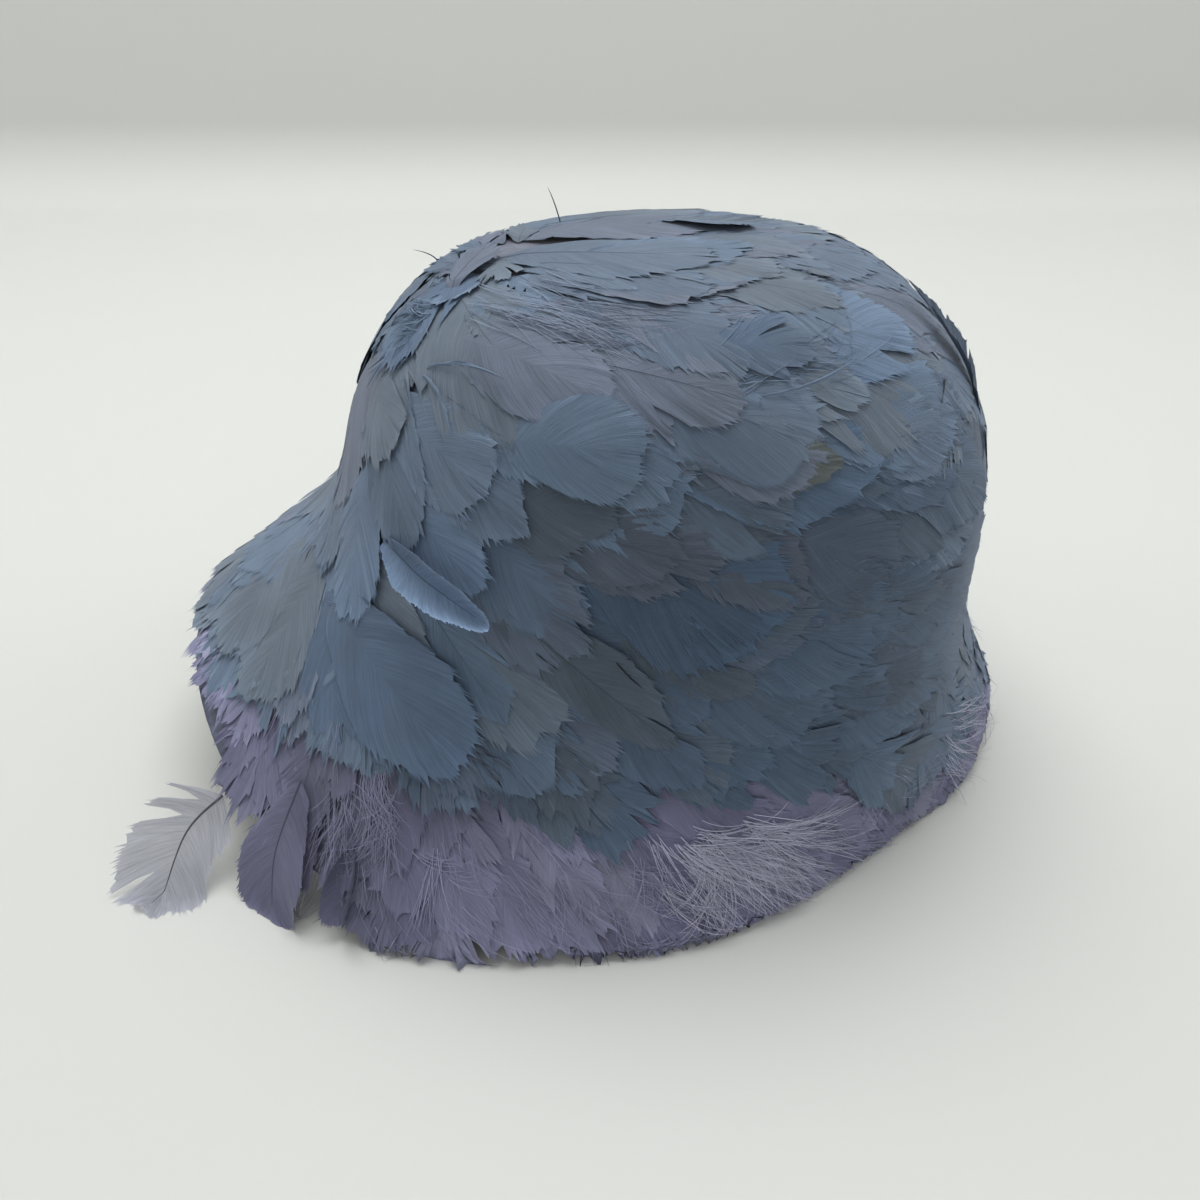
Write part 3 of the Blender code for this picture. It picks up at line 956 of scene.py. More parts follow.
class Paint:
    """A new material whose nodes are joined as they are made."""

    def __init__(self, name: str, inputs: dict[str, object]) -> None:
        """Starts the material.

        Args:
            name: its name.
            inputs: settings of its main shader.
        """
        self.made = bpy.data.materials.new(name)
        self.made.use_nodes = True
        self.nodes = self.made.node_tree.nodes
        self.shader = self.nodes["Principled BSDF"]
        self.feed(self.shader, inputs)

    def feed(self, node: bpy.types.Node, inputs: dict[str | int, object]) -> None:
        """Sets or joins a node's inputs.

        Args:
            node: the node.
            inputs: for each input, its value or the socket that it is joined to.
        """
        for key, value in inputs.items():
            if isinstance(value, bpy.types.NodeSocket):
                self.made.node_tree.links.new(value, node.inputs[key])
            else:
                node.inputs[key].default_value = value

    def node(
        self, kind: str, out: str, inputs: dict[str | int, object], operation: str = ""
    ) -> bpy.types.NodeSocket:
        """Adds a node.

        Args:
            kind: its type.
            out: the output that is wanted.
            inputs: its inputs, as feed takes them.
            operation: what it works out, where it has a choice.

        Returns:
            The output's socket.
        """
        node = self.nodes.new("ShaderNode" + kind)
        if operation:
            node.operation = operation
        self.feed(node, inputs)
        return node.outputs[out]

    def spread(self, value: bpy.types.NodeSocket, *ends: float) -> bpy.types.NodeSocket:
        """Carries a value from one range, the first two ends, into another, the last two."""
        names = ("From Min", "From Max", "To Min", "To Max")
        return self.node("MapRange", "Result", {"Value": value, **dict(zip(names, ends))})


@dataclass(frozen=True)
class FeatherFinish:
    """Matt dyed feather with fine lines along its barbs, and light through it where it has a glow."""

    name: str
    roughness: float = 0.66
    sheen: float = 0.15
    sheen_tint: tuple[float, ...] = (0.80, 0.86, 1.0, 1.0)
    line_scale: tuple[float, ...] = (170.0, 2.2, 1.0)
    line_depth: float = 0.45
    stain: float = 0.16
    stain_tint: tuple[float, ...] = (0.150, 0.160, 0.150, 1.0)
    stain_shift: tuple[float, ...] = (3.1, 7.7, 1.3)
    glow: float = 0.0
    cover: float = 0.80

    def material(self) -> bpy.types.Material:
        """Builds the finish.

        Returns:
            The new material.
        """
        paint = Paint(self.name, {
            "Roughness": self.roughness, "Specular IOR Level": 0.22, "Sheen Weight": self.sheen,
            "Sheen Roughness": 0.45, "Sheen Tint": self.sheen_tint,
        })
        # The tint attribute carries each feather's dye together with its painted shade, painted light and
        # painted highlight.
        tint = paint.nodes.new("ShaderNodeVertexColor")
        tint.layer_name = "tint"
        barbs = paint.nodes.new("ShaderNodeUVMap")
        barbs.uv_map = "barbs"
        drawn = paint.node("Mapping", "Vector", {"Scale": self.line_scale, "Vector": barbs.outputs["UV"]})
        lines = paint.node("TexNoise", "Fac", {"Scale": 1.0, "Detail": 3.0, "Vector": drawn})
        where = paint.node("TexCoord", "Object", {})
        cloud = paint.node("TexNoise", "Fac", {"Scale": 34.0, "Detail": 3.0, "Vector": where})
        fine, broad = paint.spread(lines, 0.30, 0.70, 0.78, 1.20), paint.spread(cloud, 0.30, 0.70, 0.86, 1.14)
        gain = paint.node("Math", "Value", {0: fine, 1: broad}, "MULTIPLY")
        dyed = paint.node("VectorMath", "Vector", {0: tint.outputs["Color"], "Scale": gain}, "SCALE")
        beside = paint.node("VectorMath", "Vector", {0: where, 1: self.stain_shift}, "ADD")
        patch = paint.node("TexNoise", "Fac", {"Scale": 22.0, "Detail": 2.0, "Vector": beside})
        mix = paint.nodes.new("ShaderNodeMix")
        mix.data_type = "RGBA"
        aged = paint.spread(patch, 0.56, 0.72, 0.0, self.stain)
        paint.feed(mix, {"B": self.stain_tint, "Factor": aged, "A": dyed})
        dye = mix.outputs["Result"]
        relief = {"Strength": self.line_depth, "Distance": 0.0006, "Height": lines}
        bump = paint.node("Bump", "Normal", relief)
        paint.feed(paint.shader, {"Base Color": dye, "Normal": bump})
        if self.glow > 0.0:
            through = paint.node("BsdfTranslucent", "BSDF", {"Color": dye})
            both = {"Fac": self.glow, 1: paint.shader.outputs["BSDF"], 2: through}
            blend = paint.node("MixShader", "Shader", both)
            paint.feed(paint.nodes["Material Output"], {"Surface": blend})
            paint.feed(paint.shader, {"Alpha": self.cover})
        return paint.made


@dataclass(frozen=True)
class FeltFinish:
    """Matt pressed felt."""

    name: str
    colour: Shade = Shade.FELT
    dark: float = 0.75
    pale: float = 1.3

    def material(self) -> bpy.types.Material:
        """Builds the finish.

        Returns:
            The new material.
        """
        paint = Paint(self.name, {"Roughness": 0.92, "Specular IOR Level": 0.12, "Sheen Weight": 0.30})
        where = paint.node("TexCoord", "Object", {})
        wool = paint.node("TexNoise", "Fac", {"Scale": 420.0, "Detail": 5.0, "Vector": where})
        dye = paint.nodes.new("ShaderNodeValToRGB")
        for end, place, gain in zip(dye.color_ramp.elements, (0.30, 0.72), (self.dark, self.pale)):
            end.position = place
            end.color = (*(part * gain for part in self.colour.value), 1.0)
        paint.feed(dye, {"Fac": wool})
        bump = paint.node("Bump", "Normal", {"Strength": 0.35, "Distance": 0.0008, "Height": wool})
        paint.feed(paint.shader, {"Base Color": dye.outputs["Color"], "Normal": bump})
        return paint.made


def settle(weave: Weave, node: str, kind: str, finish: FeatherFinish | FeltFinish) -> None:
    """Builds a piece with its finish, ties it to the body, and hides the solid that it stands for.

    Args:
        weave: its mesh, gathered.
        node: the solid that it replaces, which is hidden, and whose name the piece and its finish carry.
        kind: what it is made of, for its name.
        finish: how it looks.
    """
    piece = weave.build(f"{node}_{kind}", finish.material())
    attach(piece, BODY)
    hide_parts(node)
    LOG.info("%s: %d faces", piece.name, len(piece.data.polygons))


@dataclass(frozen=True)
class FeltShell:
    """The felt tip, crown and brim as smooth shells under the feathers."""

    surface: Surface
    columns: int = 144
    tip: float = 0.004
    shoulder: float = 3.5
    waist: float = 6.0
    edge: float = 7.75

    def shell(self, node: str, top: float, foot: float, levels: int) -> None:
        """Builds one shell between two stations.

        Args:
            node: the solid that it replaces.
            top: upper station.
            foot: lower station.
            levels: number of rings.
        """
        turns = np.linspace(0.0, FULL_TURN, self.columns, endpoint=False)
        rings = np.linspace(top, foot, levels)
        bearing, station = np.meshgrid(turns, rings)
        point, normal = self.surface.read(bearing, station)
        thickness = self.surface.form.felt
        number = np.arange(levels * self.columns).reshape(levels, self.columns)
        after = np.roll(number, -1, axis=1)
        sheet = np.stack([number[:-1], after[:-1], after[1:], number[1:]], -1).reshape(-1, 4)
        count = levels * self.columns
        faces = [sheet, sheet[:, ::-1] + count]
        for row, flip in ((levels - 1, False), (0, True)):
            band = np.stack([number[row], after[row], after[row] + count, number[row] + count], -1)
            faces.append(band if flip else band[:, ::-1])
        weave = Weave()
        vertices = np.concatenate([point.reshape(-1, 3), (point - normal * thickness).reshape(-1, 3)])
        tints = np.tile(np.array(Shade.FELT.value), (2 * count, 1))
        weave.add(vertices, np.concatenate(faces), np.zeros((2 * count, 2)), tints)
        settle(weave, node, "felt", FeltFinish(node + "_felt"))

    def build(self) -> None:
        """Builds the tip, the crown and the brim."""
        self.shell("felt_tip", self.tip, self.shoulder, 50)
        self.shell("felt_crown", self.shoulder, self.waist, 40)
        self.shell("felt_brim", self.waist, self.edge, 30)


def painted_light_and_shade(bearing: Array, station: Array, painted_wall_shade: float, light: Table) -> Array:
    """How light the colour is: painted shade, darker and bluer, on the wall, its own painted light and shade
    round the brim, and painted shade on the crown's top.

    Args:
        bearing: bearings in radians.
        station: stations.
        painted_wall_shade: share of brightness taken off the wall as painted shade; above nought the crown's
            top gets painted shade too.
        light: bearing in degrees and factor of painted light and shade, for the brim.

    Returns:
        A factor for red, green and blue at each place.
    """
    # Painted shade on the wall, strongest on the hat's sides; painted light and shade round the brim; painted
    # shade on the crown's top.
    wall = np.interp(station, (2.6, 3.2, 3.8, 4.6, 5.2), (0.0, 0.30, 0.95, 0.95, 0.72))
    wall = wall * looked_up(((25.0, 0.15), (60.0, 1.0), (95.0, 0.95), (140.0, 0.35)), bearing)
    brim = (looked_up(light, bearing) - 1.0) * np.interp(station, (3.6, 4.4), (0.0, 1.0))
    top = np.interp(station, (1.2, 2.8), (0.12, 0.0)) if painted_wall_shade > 0.0 else 0.0
    return (1.0 + brim - top)[:, None] - painted_wall_shade * wall[:, None] * np.array([1.14, 1.0, 0.86])


BLUES = (Shade.SLATE, Shade.STEEL, Shade.GREY, Shade.SLATE, Shade.MAUVE)
LILACS = (Shade.LILAC, Shade.LILAC, Shade.PALE_LILAC, Shade.DARK_LILAC)


@dataclass(frozen=True)
class Region:
    """Feathers rooted between two stations: sizes in metres, and their dyes."""

    node: str
    top: float
    foot: float
    level_gap: float
    spacing: float
    length: float
    half_width: float
    root_lift: float
    tip_lift: float
    wander: float = 0.12
    dyes: tuple[Shade, ...] = BLUES
    vane: Vane = Vane()
    hem: Table = ()
    # deep and light: painted shade on the wall and painted light and shade round the brim, put into the dyes.
    painted_wall_shade: float = 0.48
    light: Table = ((0.0, 1.14), (32.0, 1.12), (50.0, 1.0))
    stretch: float = 1.0
    shrink: float = 0.25
    overhang: float = 0.90
    hem_margin: float = 0.45
    no_hem: float = 9.0
    ring_probes: int = 73
    jitter: float = 0.28
    level_jitter: float = 0.35
    shaft_share: float = 0.35
    shaft_widths: tuple[float, float] = (0.00018, 0.00032)

    def reach(self, bearing: Array) -> Array:
        """Stations of the region's hem at bearings in radians, far out where it has none."""
        return looked_up(self.hem or ((0.0, self.no_hem), (180.0, self.no_hem)), bearing)

    def fitted(self, surface: Surface, bearing: Array, station: Array, heading: Array) -> Array:
        """Lengths with which feathers end at the region's hem.

        Args:
            surface: the skin that they lie on.
            bearing: bearings of the roots.
            station: stations of the roots.
            heading: headings of the feathers.

        Returns:
            Lengths in metres.
        """
        room = surface.run(bearing, self.reach(bearing)) - surface.run(bearing, station)
        room = (room / np.maximum(np.cos(heading), 0.5) - self.overhang * self.half_width) / QUILL_SHARE
        return np.clip(room, self.shrink * self.length, self.stretch * self.length)

    def sow(self, surface: Surface, flow: Flow, rng: np.random.Generator) -> Feathers:
        """Scatters the region's feathers in staggered rings.

        Args:
            surface: the skin that they lie on.
            flow: which way they lie.
            rng: source of chance.

        Returns:
            The feathers.
        """
        bearings, stations = [], []
        for index, level in enumerate(np.arange(self.top, self.foot, self.level_gap)):
            probes = np.linspace(0.0, FULL_TURN, self.ring_probes)
            ring, _ = surface.read(probes, np.full(self.ring_probes, level))
            girth = np.linalg.norm(np.diff(ring, axis=0), axis=1).sum()
            number = max(3, round(girth / self.spacing))
            moved = rng.uniform(-self.jitter, self.jitter, number)
            bearings.append((np.arange(number) + 0.5 * (index % 2) + moved) / number * FULL_TURN)
            raised = rng.uniform(-self.level_jitter, self.level_jitter, number)
            stations.append(level + raised * self.level_gap)
        bearing = np.concatenate(bearings)
        station = np.clip(np.concatenate(stations), 0.03, surface.last)
        inside = station < self.reach(bearing) - self.hem_margin
        bearing, station = bearing[inside], station[inside]
        count = len(bearing)
        size = rng.normal(1.0, 0.12, count).clip(0.7, 1.35)
        dye = np.array([shade.value for shade in self.dyes])[rng.integers(0, len(self.dyes), count)]
        heading = flow.heading(bearing, station) + rng.normal(0.0, self.wander, count)
        length = self.fitted(surface, bearing, station, heading) if self.hem else self.length
        # Each feather's colour takes the painted shade of the wall and the painted light and shade of the
        # brim.
        dye = dye * painted_light_and_shade(bearing, station, self.painted_wall_shade, self.light)
        return Feathers(
            bearing=bearing,
            station=station,
            heading=heading,
            length=length * (rng.normal(1.0, 0.07, count) if self.hem else size),
            half_width=self.half_width * size * rng.normal(1.0, 0.10, count).clip(0.75, 1.25),
            bend=rng.normal(0.0, 0.22, count),
            root_lift=self.root_lift + rng.normal(0.0, 0.0001, count),
            tip_lift=self.tip_lift + rng.normal(0.0, 0.0002, count),
            cup=rng.normal(-0.0002, 0.0002, count),
            shade=dye * rng.normal(1.0, 0.05, count).clip(0.85, 1.15)[:, None],
            shaft=np.where(rng.random(count) < self.shaft_share, rng.uniform(*self.shaft_widths, count), 0.0),
        )


PLAIN = Vane(
    rows=70, root_angle=56.0, tip_angle=4.0, splits=0.0, fray=0.15, draw=0.0, clump_uneven=0.0,
    clump_lift=0.00005, clump_tilt=0.00008, pale_edge=0.1,
)
SMOOTH = Vane(rows=60, splits=0.4, outline=Outline.BROAD, draw=0.35)
SPLIT = Vane(splits=1.6, split_angle=5.0, draw=0.65, clump_uneven=0.06)
LEAF = Vane(splits=0.4, outline=Outline.POINTED, root_angle=40.0)
SOFT = Vane(
    rows=44, outs=(0.0, 0.34, 0.64, 0.86, 1.0), splits=1.4, split_angle=4.5, fray=0.8, edge_curl=0.0003,
    clump=3.5, draw=0.7, clump_uneven=0.09, clump_lift=0.00025,
)
# Thin dark strip laid where feathers part, as a painted shadow of the gap.
PAINTED_SLIT_SHADOW = Vane(
    rows=20, outs=(0.0, 0.5, 1.0), root_angle=8.0, tip_angle=2.0, sweep=0.0, splits=0.0, clump=99.0,
    outline=Outline.POINTED, pale_edge=0.0, fray=0.1, tilt=0.0,
)
RAISED = Vane(splits=0.3, draw=0.3, tilt=-0.16)
STRIP = Vane(
    rows=30, outs=(0.0, 0.5, 0.85, 1.0), splits=0.0, root_angle=14.0, tip_angle=6.0, sweep=4.0,
    outline=Outline.POINTED,
)

BLUE_HEM = (
    (0.0, 7.60), (9.5, 7.65), (17.5, 7.55), (23.5, 7.25), (32.5, 6.95), (43.5, 6.75), (51.5, 6.75),
    (58.0, 6.60), (66.0, 6.90), (75.0, 6.65), (79.5, 6.45), (87.5, 6.35), (98.5, 6.42), (111.0, 6.60),
    (126.0, 7.10), (136.5, 7.20), (148.5, 7.25), (161.0, 7.50), (180.0, 7.40),
)
EDGE_HEM = ((0.0, 7.62), (28.0, 7.70), (45.0, 8.08), (60.0, 8.18), (110.0, 8.18), (180.0, 8.10))
# Painted light and shade of the lilac border by bearing: lighter at the front, darker round the sides and
# back.
LILAC_PAINTED_LIGHT = ((0.0, 1.20), (18.0, 1.10), (30.0, 0.72), (46.0, 0.74), (62.0, 0.90))


@dataclass(frozen=True)
class Placed:
    """A feather put where the photograph shows it: angles in degrees, sizes in metres."""

    bearing: float
    station: float
    heading: float
    length: float
    half_width: float
    shade: Shade
    root_rise: float = 0.0004
    tip_rise: float = 0.0004
    bend: float = 0.0
    shaft: float = 0.0


CHOSEN: dict[str, dict[Vane, tuple[Placed, ...]]] = {
    "crown_tip_feathers": {
        SMOOTH: (
            Placed(29.5, 1.03, 160, 0.056, 0.015, Shade.STEEL, 0.0003, 0.0),
            Placed(300.0, 0.86, 240, 0.05, 0.014, Shade.SLATE, 0.0002, 0.0),
            Placed(250.0, 0.6, 250, 0.046, 0.013, Shade.GREY, 0.0002, 0.0),
            Placed(60.0, 1.63, 98, 0.056, 0.015, Shade.MAUVE, shaft=0.0003),
            Placed(100.0, 1.2, 70, 0.052, 0.015, Shade.STEEL),
        ),
        RAISED: (Placed(283.0, 0.95, 246, 0.034, 0.0115, Shade.SLATE, 0.0002, 0.0003, -14.0),),
        LEAF: (Placed(21.0, 2.16, -133, 0.031, 0.008, Shade.MAUVE, 0.0014, 0.0016, 0.0, 0.0003),),
    },
    "crown_upper_feathers": {
        SPLIT: (
            Placed(14.5, 1.65, 24, 0.04, 0.012, Shade.BRIGHT),
            Placed(96.0, 2.33, 88, 0.026, 0.0105, Shade.BRIGHT, 0.0014, 0.001),
            Placed(136.0, 2.3, 50, 0.05, 0.014, Shade.SLATE),
        ),
        SMOOTH: (
            Placed(32.5, 2.61, 104, 0.056, 0.015, Shade.MAUVE),
            Placed(55.0, 2.53, 102, 0.06, 0.016, Shade.MAUVE, shaft=0.0003),
            Placed(103.0, 2.5, 100, 0.054, 0.018, Shade.SKY, 0.0006, 0.0006),
        ),
    },
    "crown_middle_feathers": {
        SMOOTH: (
            Placed(28.0, 3.6, 84, 0.046, 0.015, Shade.SLATE),
            Placed(78.0, 3.2, 84, 0.056, 0.015, Shade.MAUVE, shaft=0.0003),
            Placed(112.0, 3.3, 76, 0.052, 0.015, Shade.SLATE),
        ),
        PLAIN: (Placed(57.0, 3.58, 99, 0.033, 0.0145, Shade.STEEL, 0.0016, 0.0014),),
        SPLIT: (
            Placed(100.0, 3.7, 86, 0.03, 0.0075, Shade.OLIVE, 0.001, 0.0006),
            Placed(154.5, 2.78, -34, 0.04, 0.012, Shade.GREY),
            Placed(171.5, 3.23, -50, 0.048, 0.012, Shade.DEEP_BLUE_AND_PAINTED_SHADE),
            Placed(19.0, 3.4, 62, 0.03, 0.011, Shade.GREY),
        ),
        # Painted shadow: a dark strip where feathers part.
        PAINTED_SLIT_SHADOW: (Placed(153.0, 3.38, -70, 0.015, 0.001, Shade.PAINTED_SHADOW, 0.0024, 0.001),),
        STRIP: (
            Placed(33.5, 3.16, 126, 0.038, 0.002, Shade.STEEL, 0.0016, 0.003, -30.0),
            Placed(33.5, 3.16, 98, 0.032, 0.0018, Shade.STEEL, 0.0016, 0.003, -52.0),
            Placed(103.5, 3.01, 82, 0.05, 0.0013, Shade.SKY, 0.002, 0.004, 46.0),
        ),
    },
    "crown_lower_feathers": {
        # Placed feathers on the wall in darker copies of their colours: painted shade.
        SMOOTH: (
            Placed(28.0, 4.25, 10, 0.05, 0.015, Shade.SKY, 0.0012, 0.001),
            Placed(34.0, 4.2, 64, 0.046, 0.014, Shade.SKY, 0.0012, 0.001),
            Placed(54.0, 4.2, 86, 0.06, 0.015, Shade.MAUVE_IN_PAINTED_SHADE, shaft=0.0003),
            Placed(47.0, 4.15, 96, 0.05, 0.015, Shade.GREY_IN_PAINTED_SHADE),
            Placed(61.0, 4.4, 88, 0.058, 0.015, Shade.MAUVE_IN_PAINTED_SHADE),
            Placed(76.0, 4.55, 80, 0.056, 0.015, Shade.GREY_IN_PAINTED_SHADE),
            Placed(80.5, 3.95, 64, 0.058, 0.015, Shade.MAUVE_IN_PAINTED_SHADE, shaft=0.0003),
            Placed(95.5, 4.2, 72, 0.058, 0.016, Shade.DEEP_BLUE_AND_PAINTED_SHADE),
            Placed(120.0, 4.2, 66, 0.056, 0.015, Shade.SLATE),
        ),
    },
    "waist_feathers": {
        LEAF: (Placed(56.5, 5.02, 60, 0.082, 0.015, Shade.GREY_IN_PAINTED_SHADE, 0.0014, 0.0016, -6.0, 0.0003),),
        SPLIT: (
            Placed(72.5, 5.2, 72, 0.054, 0.014, Shade.GREY_IN_PAINTED_SHADE),
            Placed(95.5, 5.0, 86, 0.052, 0.014, Shade.DEEP_BLUE_AND_PAINTED_SHADE),
        ),
        # Painted shadow: dark strips where feathers part.
        PAINTED_SLIT_SHADOW: (
            Placed(80.0, 5.38, 38, 0.017, 0.0014, Shade.PAINTED_SHADOW, 0.0026, 0.0014, 12.0),
            Placed(67.0, 5.43, 56, 0.014, 0.001, Shade.PAINTED_SHADOW, 0.0026, 0.0014, 10.0),
        ),
        SMOOTH: (
            Placed(106.0, 5.4, 66, 0.06, 0.015, Shade.DEEP_BLUE_AND_PAINTED_SHADE),
            Placed(28.0, 5.1, 50, 0.056, 0.015, Shade.GREY, shaft=0.0003),
        ),
    },
    "brim_feathers": {
        SPLIT: (
            Placed(21.5, 5.95, 52, 0.056, 0.015, Shade.BRIGHT, 0.001, 0.0006),
            Placed(62.0, 5.75, 36, 0.048, 0.013, Shade.GREY_IN_PAINTED_SHADE, 0.0006, 0.0006),
            Placed(59.5, 6.0, 32, 0.036, 0.01, Shade.DEEP_BLUE_AND_PAINTED_SHADE),
            Placed(124.5, 5.85, 60, 0.04, 0.012, Shade.DEEP_BLUE_AND_PAINTED_SHADE),
        ),
        SMOOTH: (
            Placed(25.0, 6.02, 82, 0.07, 0.0215, Shade.BRIGHT, 0.0024, 0.0014, -10.0),
            Placed(19.5, 5.85, 12, 0.052, 0.0165, Shade.GREY, 0.0012, 0.0008),
            Placed(9.0, 5.95, 18, 0.052, 0.0165, Shade.GREY, 0.001, 0.0006),
        ),
    },
    "lilac_border_feathers": {
        SMOOTH: (Placed(35.5, 6.8, 18, 0.036, 0.0115, Shade.HEATHER, 0.001, 0.0012, 0.0, 0.0003),),
        SOFT: (
            Placed(43.0, 6.95, 22, 0.033, 0.013, Shade.HEATHER, shaft=0.0003),
            Placed(48.0, 6.7, 30, 0.045, 0.013, Shade.DARK_LILAC, shaft=0.0003),
            Placed(53.0, 6.85, 42, 0.046, 0.014, Shade.LILAC, shaft=0.0003),
            Placed(60.0, 6.95, 44, 0.042, 0.013, Shade.LILAC),
            Placed(66.0, 6.8, 44, 0.046, 0.014, Shade.LILAC, shaft=0.0003),
            Placed(79.5, 6.6, 52, 0.052, 0.015, Shade.DARK_LILAC, shaft=0.0003),
            Placed(92.0, 6.5, 54, 0.05, 0.015, Shade.LILAC),
            Placed(104.0, 6.6, 56, 0.048, 0.014, Shade.LILAC),
            Placed(118.0, 6.8, 56, 0.044, 0.013, Shade.DARK_LILAC),
            Placed(16.0, 7.0, 18, 0.025, 0.012, Shade.LILAC, shaft=0.0003),
            Placed(25.0, 7.0, 16, 0.028, 0.012, Shade.DARK_LILAC, shaft=0.0003),
        ),
    },
}


def chosen(rows: tuple[Placed, ...], region: Region) -> Feathers:
    """Gathers placed feathers into arrays.

    Args:
        rows: feathers that share one vane.
        region: the region over whose feathers they lie.

    Returns:
        The feathers.
    """

    def column(name: str) -> Array:
        """Values of one field."""
        return np.array([getattr(row, name) for row in rows], dtype=float)

    return Feathers(
        bearing=np.radians(column("bearing")),
        station=column("station"),
        heading=np.radians(column("heading")),
        length=column("length"),
        half_width=column("half_width"),
        bend=np.radians(column("bend")),
        root_lift=region.root_lift + column("root_rise"),
        tip_lift=region.tip_lift + column("tip_rise"),
        cup=np.full(len(rows), -0.0003),
        shade=np.array([row.shade.value for row in rows]),
        shaft=column("shaft"),
    )


@dataclass(frozen=True)
class Down:
    """A patch of loose pale barbs in bunches: centre and spread on the hat, and sizes in metres."""

    bearing: float
    station: float
    spread: tuple[float, float]
    heading: float
    fan: float
    count: int
    length: float
    width: float
    shade: Shade
    rise: float = 0.006
    bunch: int = 12
    lift: float = 0.0032
    curl: float = 1.0
    steps: int = 8
    sway: float = 0.6

    def build(self, loom: Loom, weave: Weave) -> None:
        """Adds the barbs to a mesh.

        Args:
            loom: what lays them.
            weave: the mesh being gathered.
        """
        rng = loom.rng
        group = np.arange(self.count) // self.bunch
        common = rng.normal(0.0, 1.0, (4, group[-1] + 1))[:, group]
        bearing = self.bearing + self.spread[0] * (common[0] + 0.12 * rng.normal(0.0, 1.0, self.count))
        station = self.station + self.spread[1] * (common[1] + 0.25 * rng.normal(0.0, 1.0, self.count))
        bearing, station = np.radians(bearing), np.clip(station, 0.1, 7.9)
        turn = np.radians(self.heading + self.fan * (common[2] + 0.35 * rng.normal(0.0, 1.0, self.count)))
        length = self.length * rng.uniform(0.5, 1.2, self.count)
        bend = self.curl * (self.sway * common[3] + 0.25 * rng.normal(0.0, 1.0, self.count))
        line, _, over = loom.walk(bearing, station, turn, length, bend, self.steps)
        climb = np.linspace(0.0, 1.0, self.steps + 1) ** 1.5
        climb = climb * (self.rise * rng.uniform(0.0, 1.0, self.count))[:, None]
        line = line + over * (self.lift + climb)[..., None]
        shade = np.array(self.shade.value)
        for each in range(self.count):
            lean = over[each] + self.sway * rng.normal(0.0, 1.0, 3)
            weave.strand(line[each], lean, self.width, shade * rng.normal(1.0, 0.08))


FREE = (
    FreeFeather(
        "curled_feather",
        (Spot(38.0, 4.97, 0.0034), Spot(48.5, 5.1, 0.0066), Spot(59.5, 5.22, 0.0104)),
        (0.8, -0.4, 0.45), 0.0085, Shade.SKY,
        Vane(
            splits=0.3, draw=0.3, fray=0.4, pale_edge=0.8, outline=Outline.BROAD, root_angle=56.0,
            tip_angle=26.0,
        ),
        (56.0, 40.0),
    ),
    FreeFeather(
        "lifted_feather",
        (
            Spot(164.0, 4.22, 0.0028), Spot(164.0, 3.6, 0.0044), Spot(163.5, 3.0, 0.0058),
            Spot(163.0, 2.5, 0.0076),
        ),
        (0.22, 0.8, 0.56), 0.006, Shade.DEEP_BLUE_AND_PAINTED_SHADE, Vane(splits=2.0, split_angle=8.0, fray=0.8), (20.0, 20.0),
    ),
    FreeFeather(
        "hanging_feather",
        (Spot(38.0, 7.25, 0.005), Spot(39.6, 7.75, 0.006), Spot(41.6, 8.0, 0.003, 0.005, 0.007)),
        (0.66, -0.56, 0.5), 0.0148, Shade.HEATHER,
        Vane(splits=0.2, fray=0.5, draw=0.3, outline=Outline.BROAD, root_angle=58.0, tip_angle=26.0),
        (6.0, 6.0), -0.002,
    ),
    FreeFeather(
        "loose_feather",
        (Spot(29.3, 7.88, 0.0024), Spot(30.4, 8.0, 0.0014, 0.013, 0.004), Spot(33.2, 8.0, 0.0, 0.03, 0.021)),
        (0.84, 0.0, 0.54), 0.015, Shade.SILVER,
        Vane(
            rows=64, splits=0.6, split_angle=10.0, fray=0.9, draw=0.15, clump_uneven=0.04,
            outline=Outline.FAN, root_angle=62.0, tip_angle=24.0, sweep=14.0,
            partings=((0, 0.10), (0, 0.24), (0, 0.62)),
        ),
        (3.0, 3.0), 0.001, 0.0004, 0.22, 0.35,
    ),
    FreeFeather(
        "tucked_feather",
        (Spot(48.0, 7.4, 0.0026), Spot(49.0, 7.62, 0.003), Spot(49.8, 7.86, 0.0028)),
        (0.68, -0.46, 0.56), 0.0085, Shade.HEATHER,
        Vane(splits=0.0, draw=0.2, outline=Outline.BROAD, root_angle=58.0, tip_angle=30.0), (55.0, 55.0),
    ),
)


@dataclass(frozen=True)
class Hair:
    """One stray barb that stands off the hat: where it starts and leans, in metres, and its shade."""

    bearing: float
    station: float
    lean: tuple[float, float, float]
    hook: tuple[float, float, float]
    shade: Shade = Shade.DEEP_BLUE_AND_PAINTED_SHADE
    points: int = 12
    off: float = 0.001
    width: float = 0.00035

    def build(self, loom: Loom, weave: Weave) -> None:
        """Adds the barb to a mesh.

        Args:
            loom: what lays it.
            weave: the mesh being gathered.
        """
        root, normal = loom.surface.read(np.radians([self.bearing]), np.array([self.station]))
        along = np.linspace(0.0, 1.0, self.points)[:, None]
        points = root + normal * self.off + np.array(self.lean) * along + np.array(self.hook) * along**2
        facing = np.tile((1.0, 0.0, 0.5), (len(points), 1))
        weave.strand(points, facing, self.width, np.array(self.shade.value))


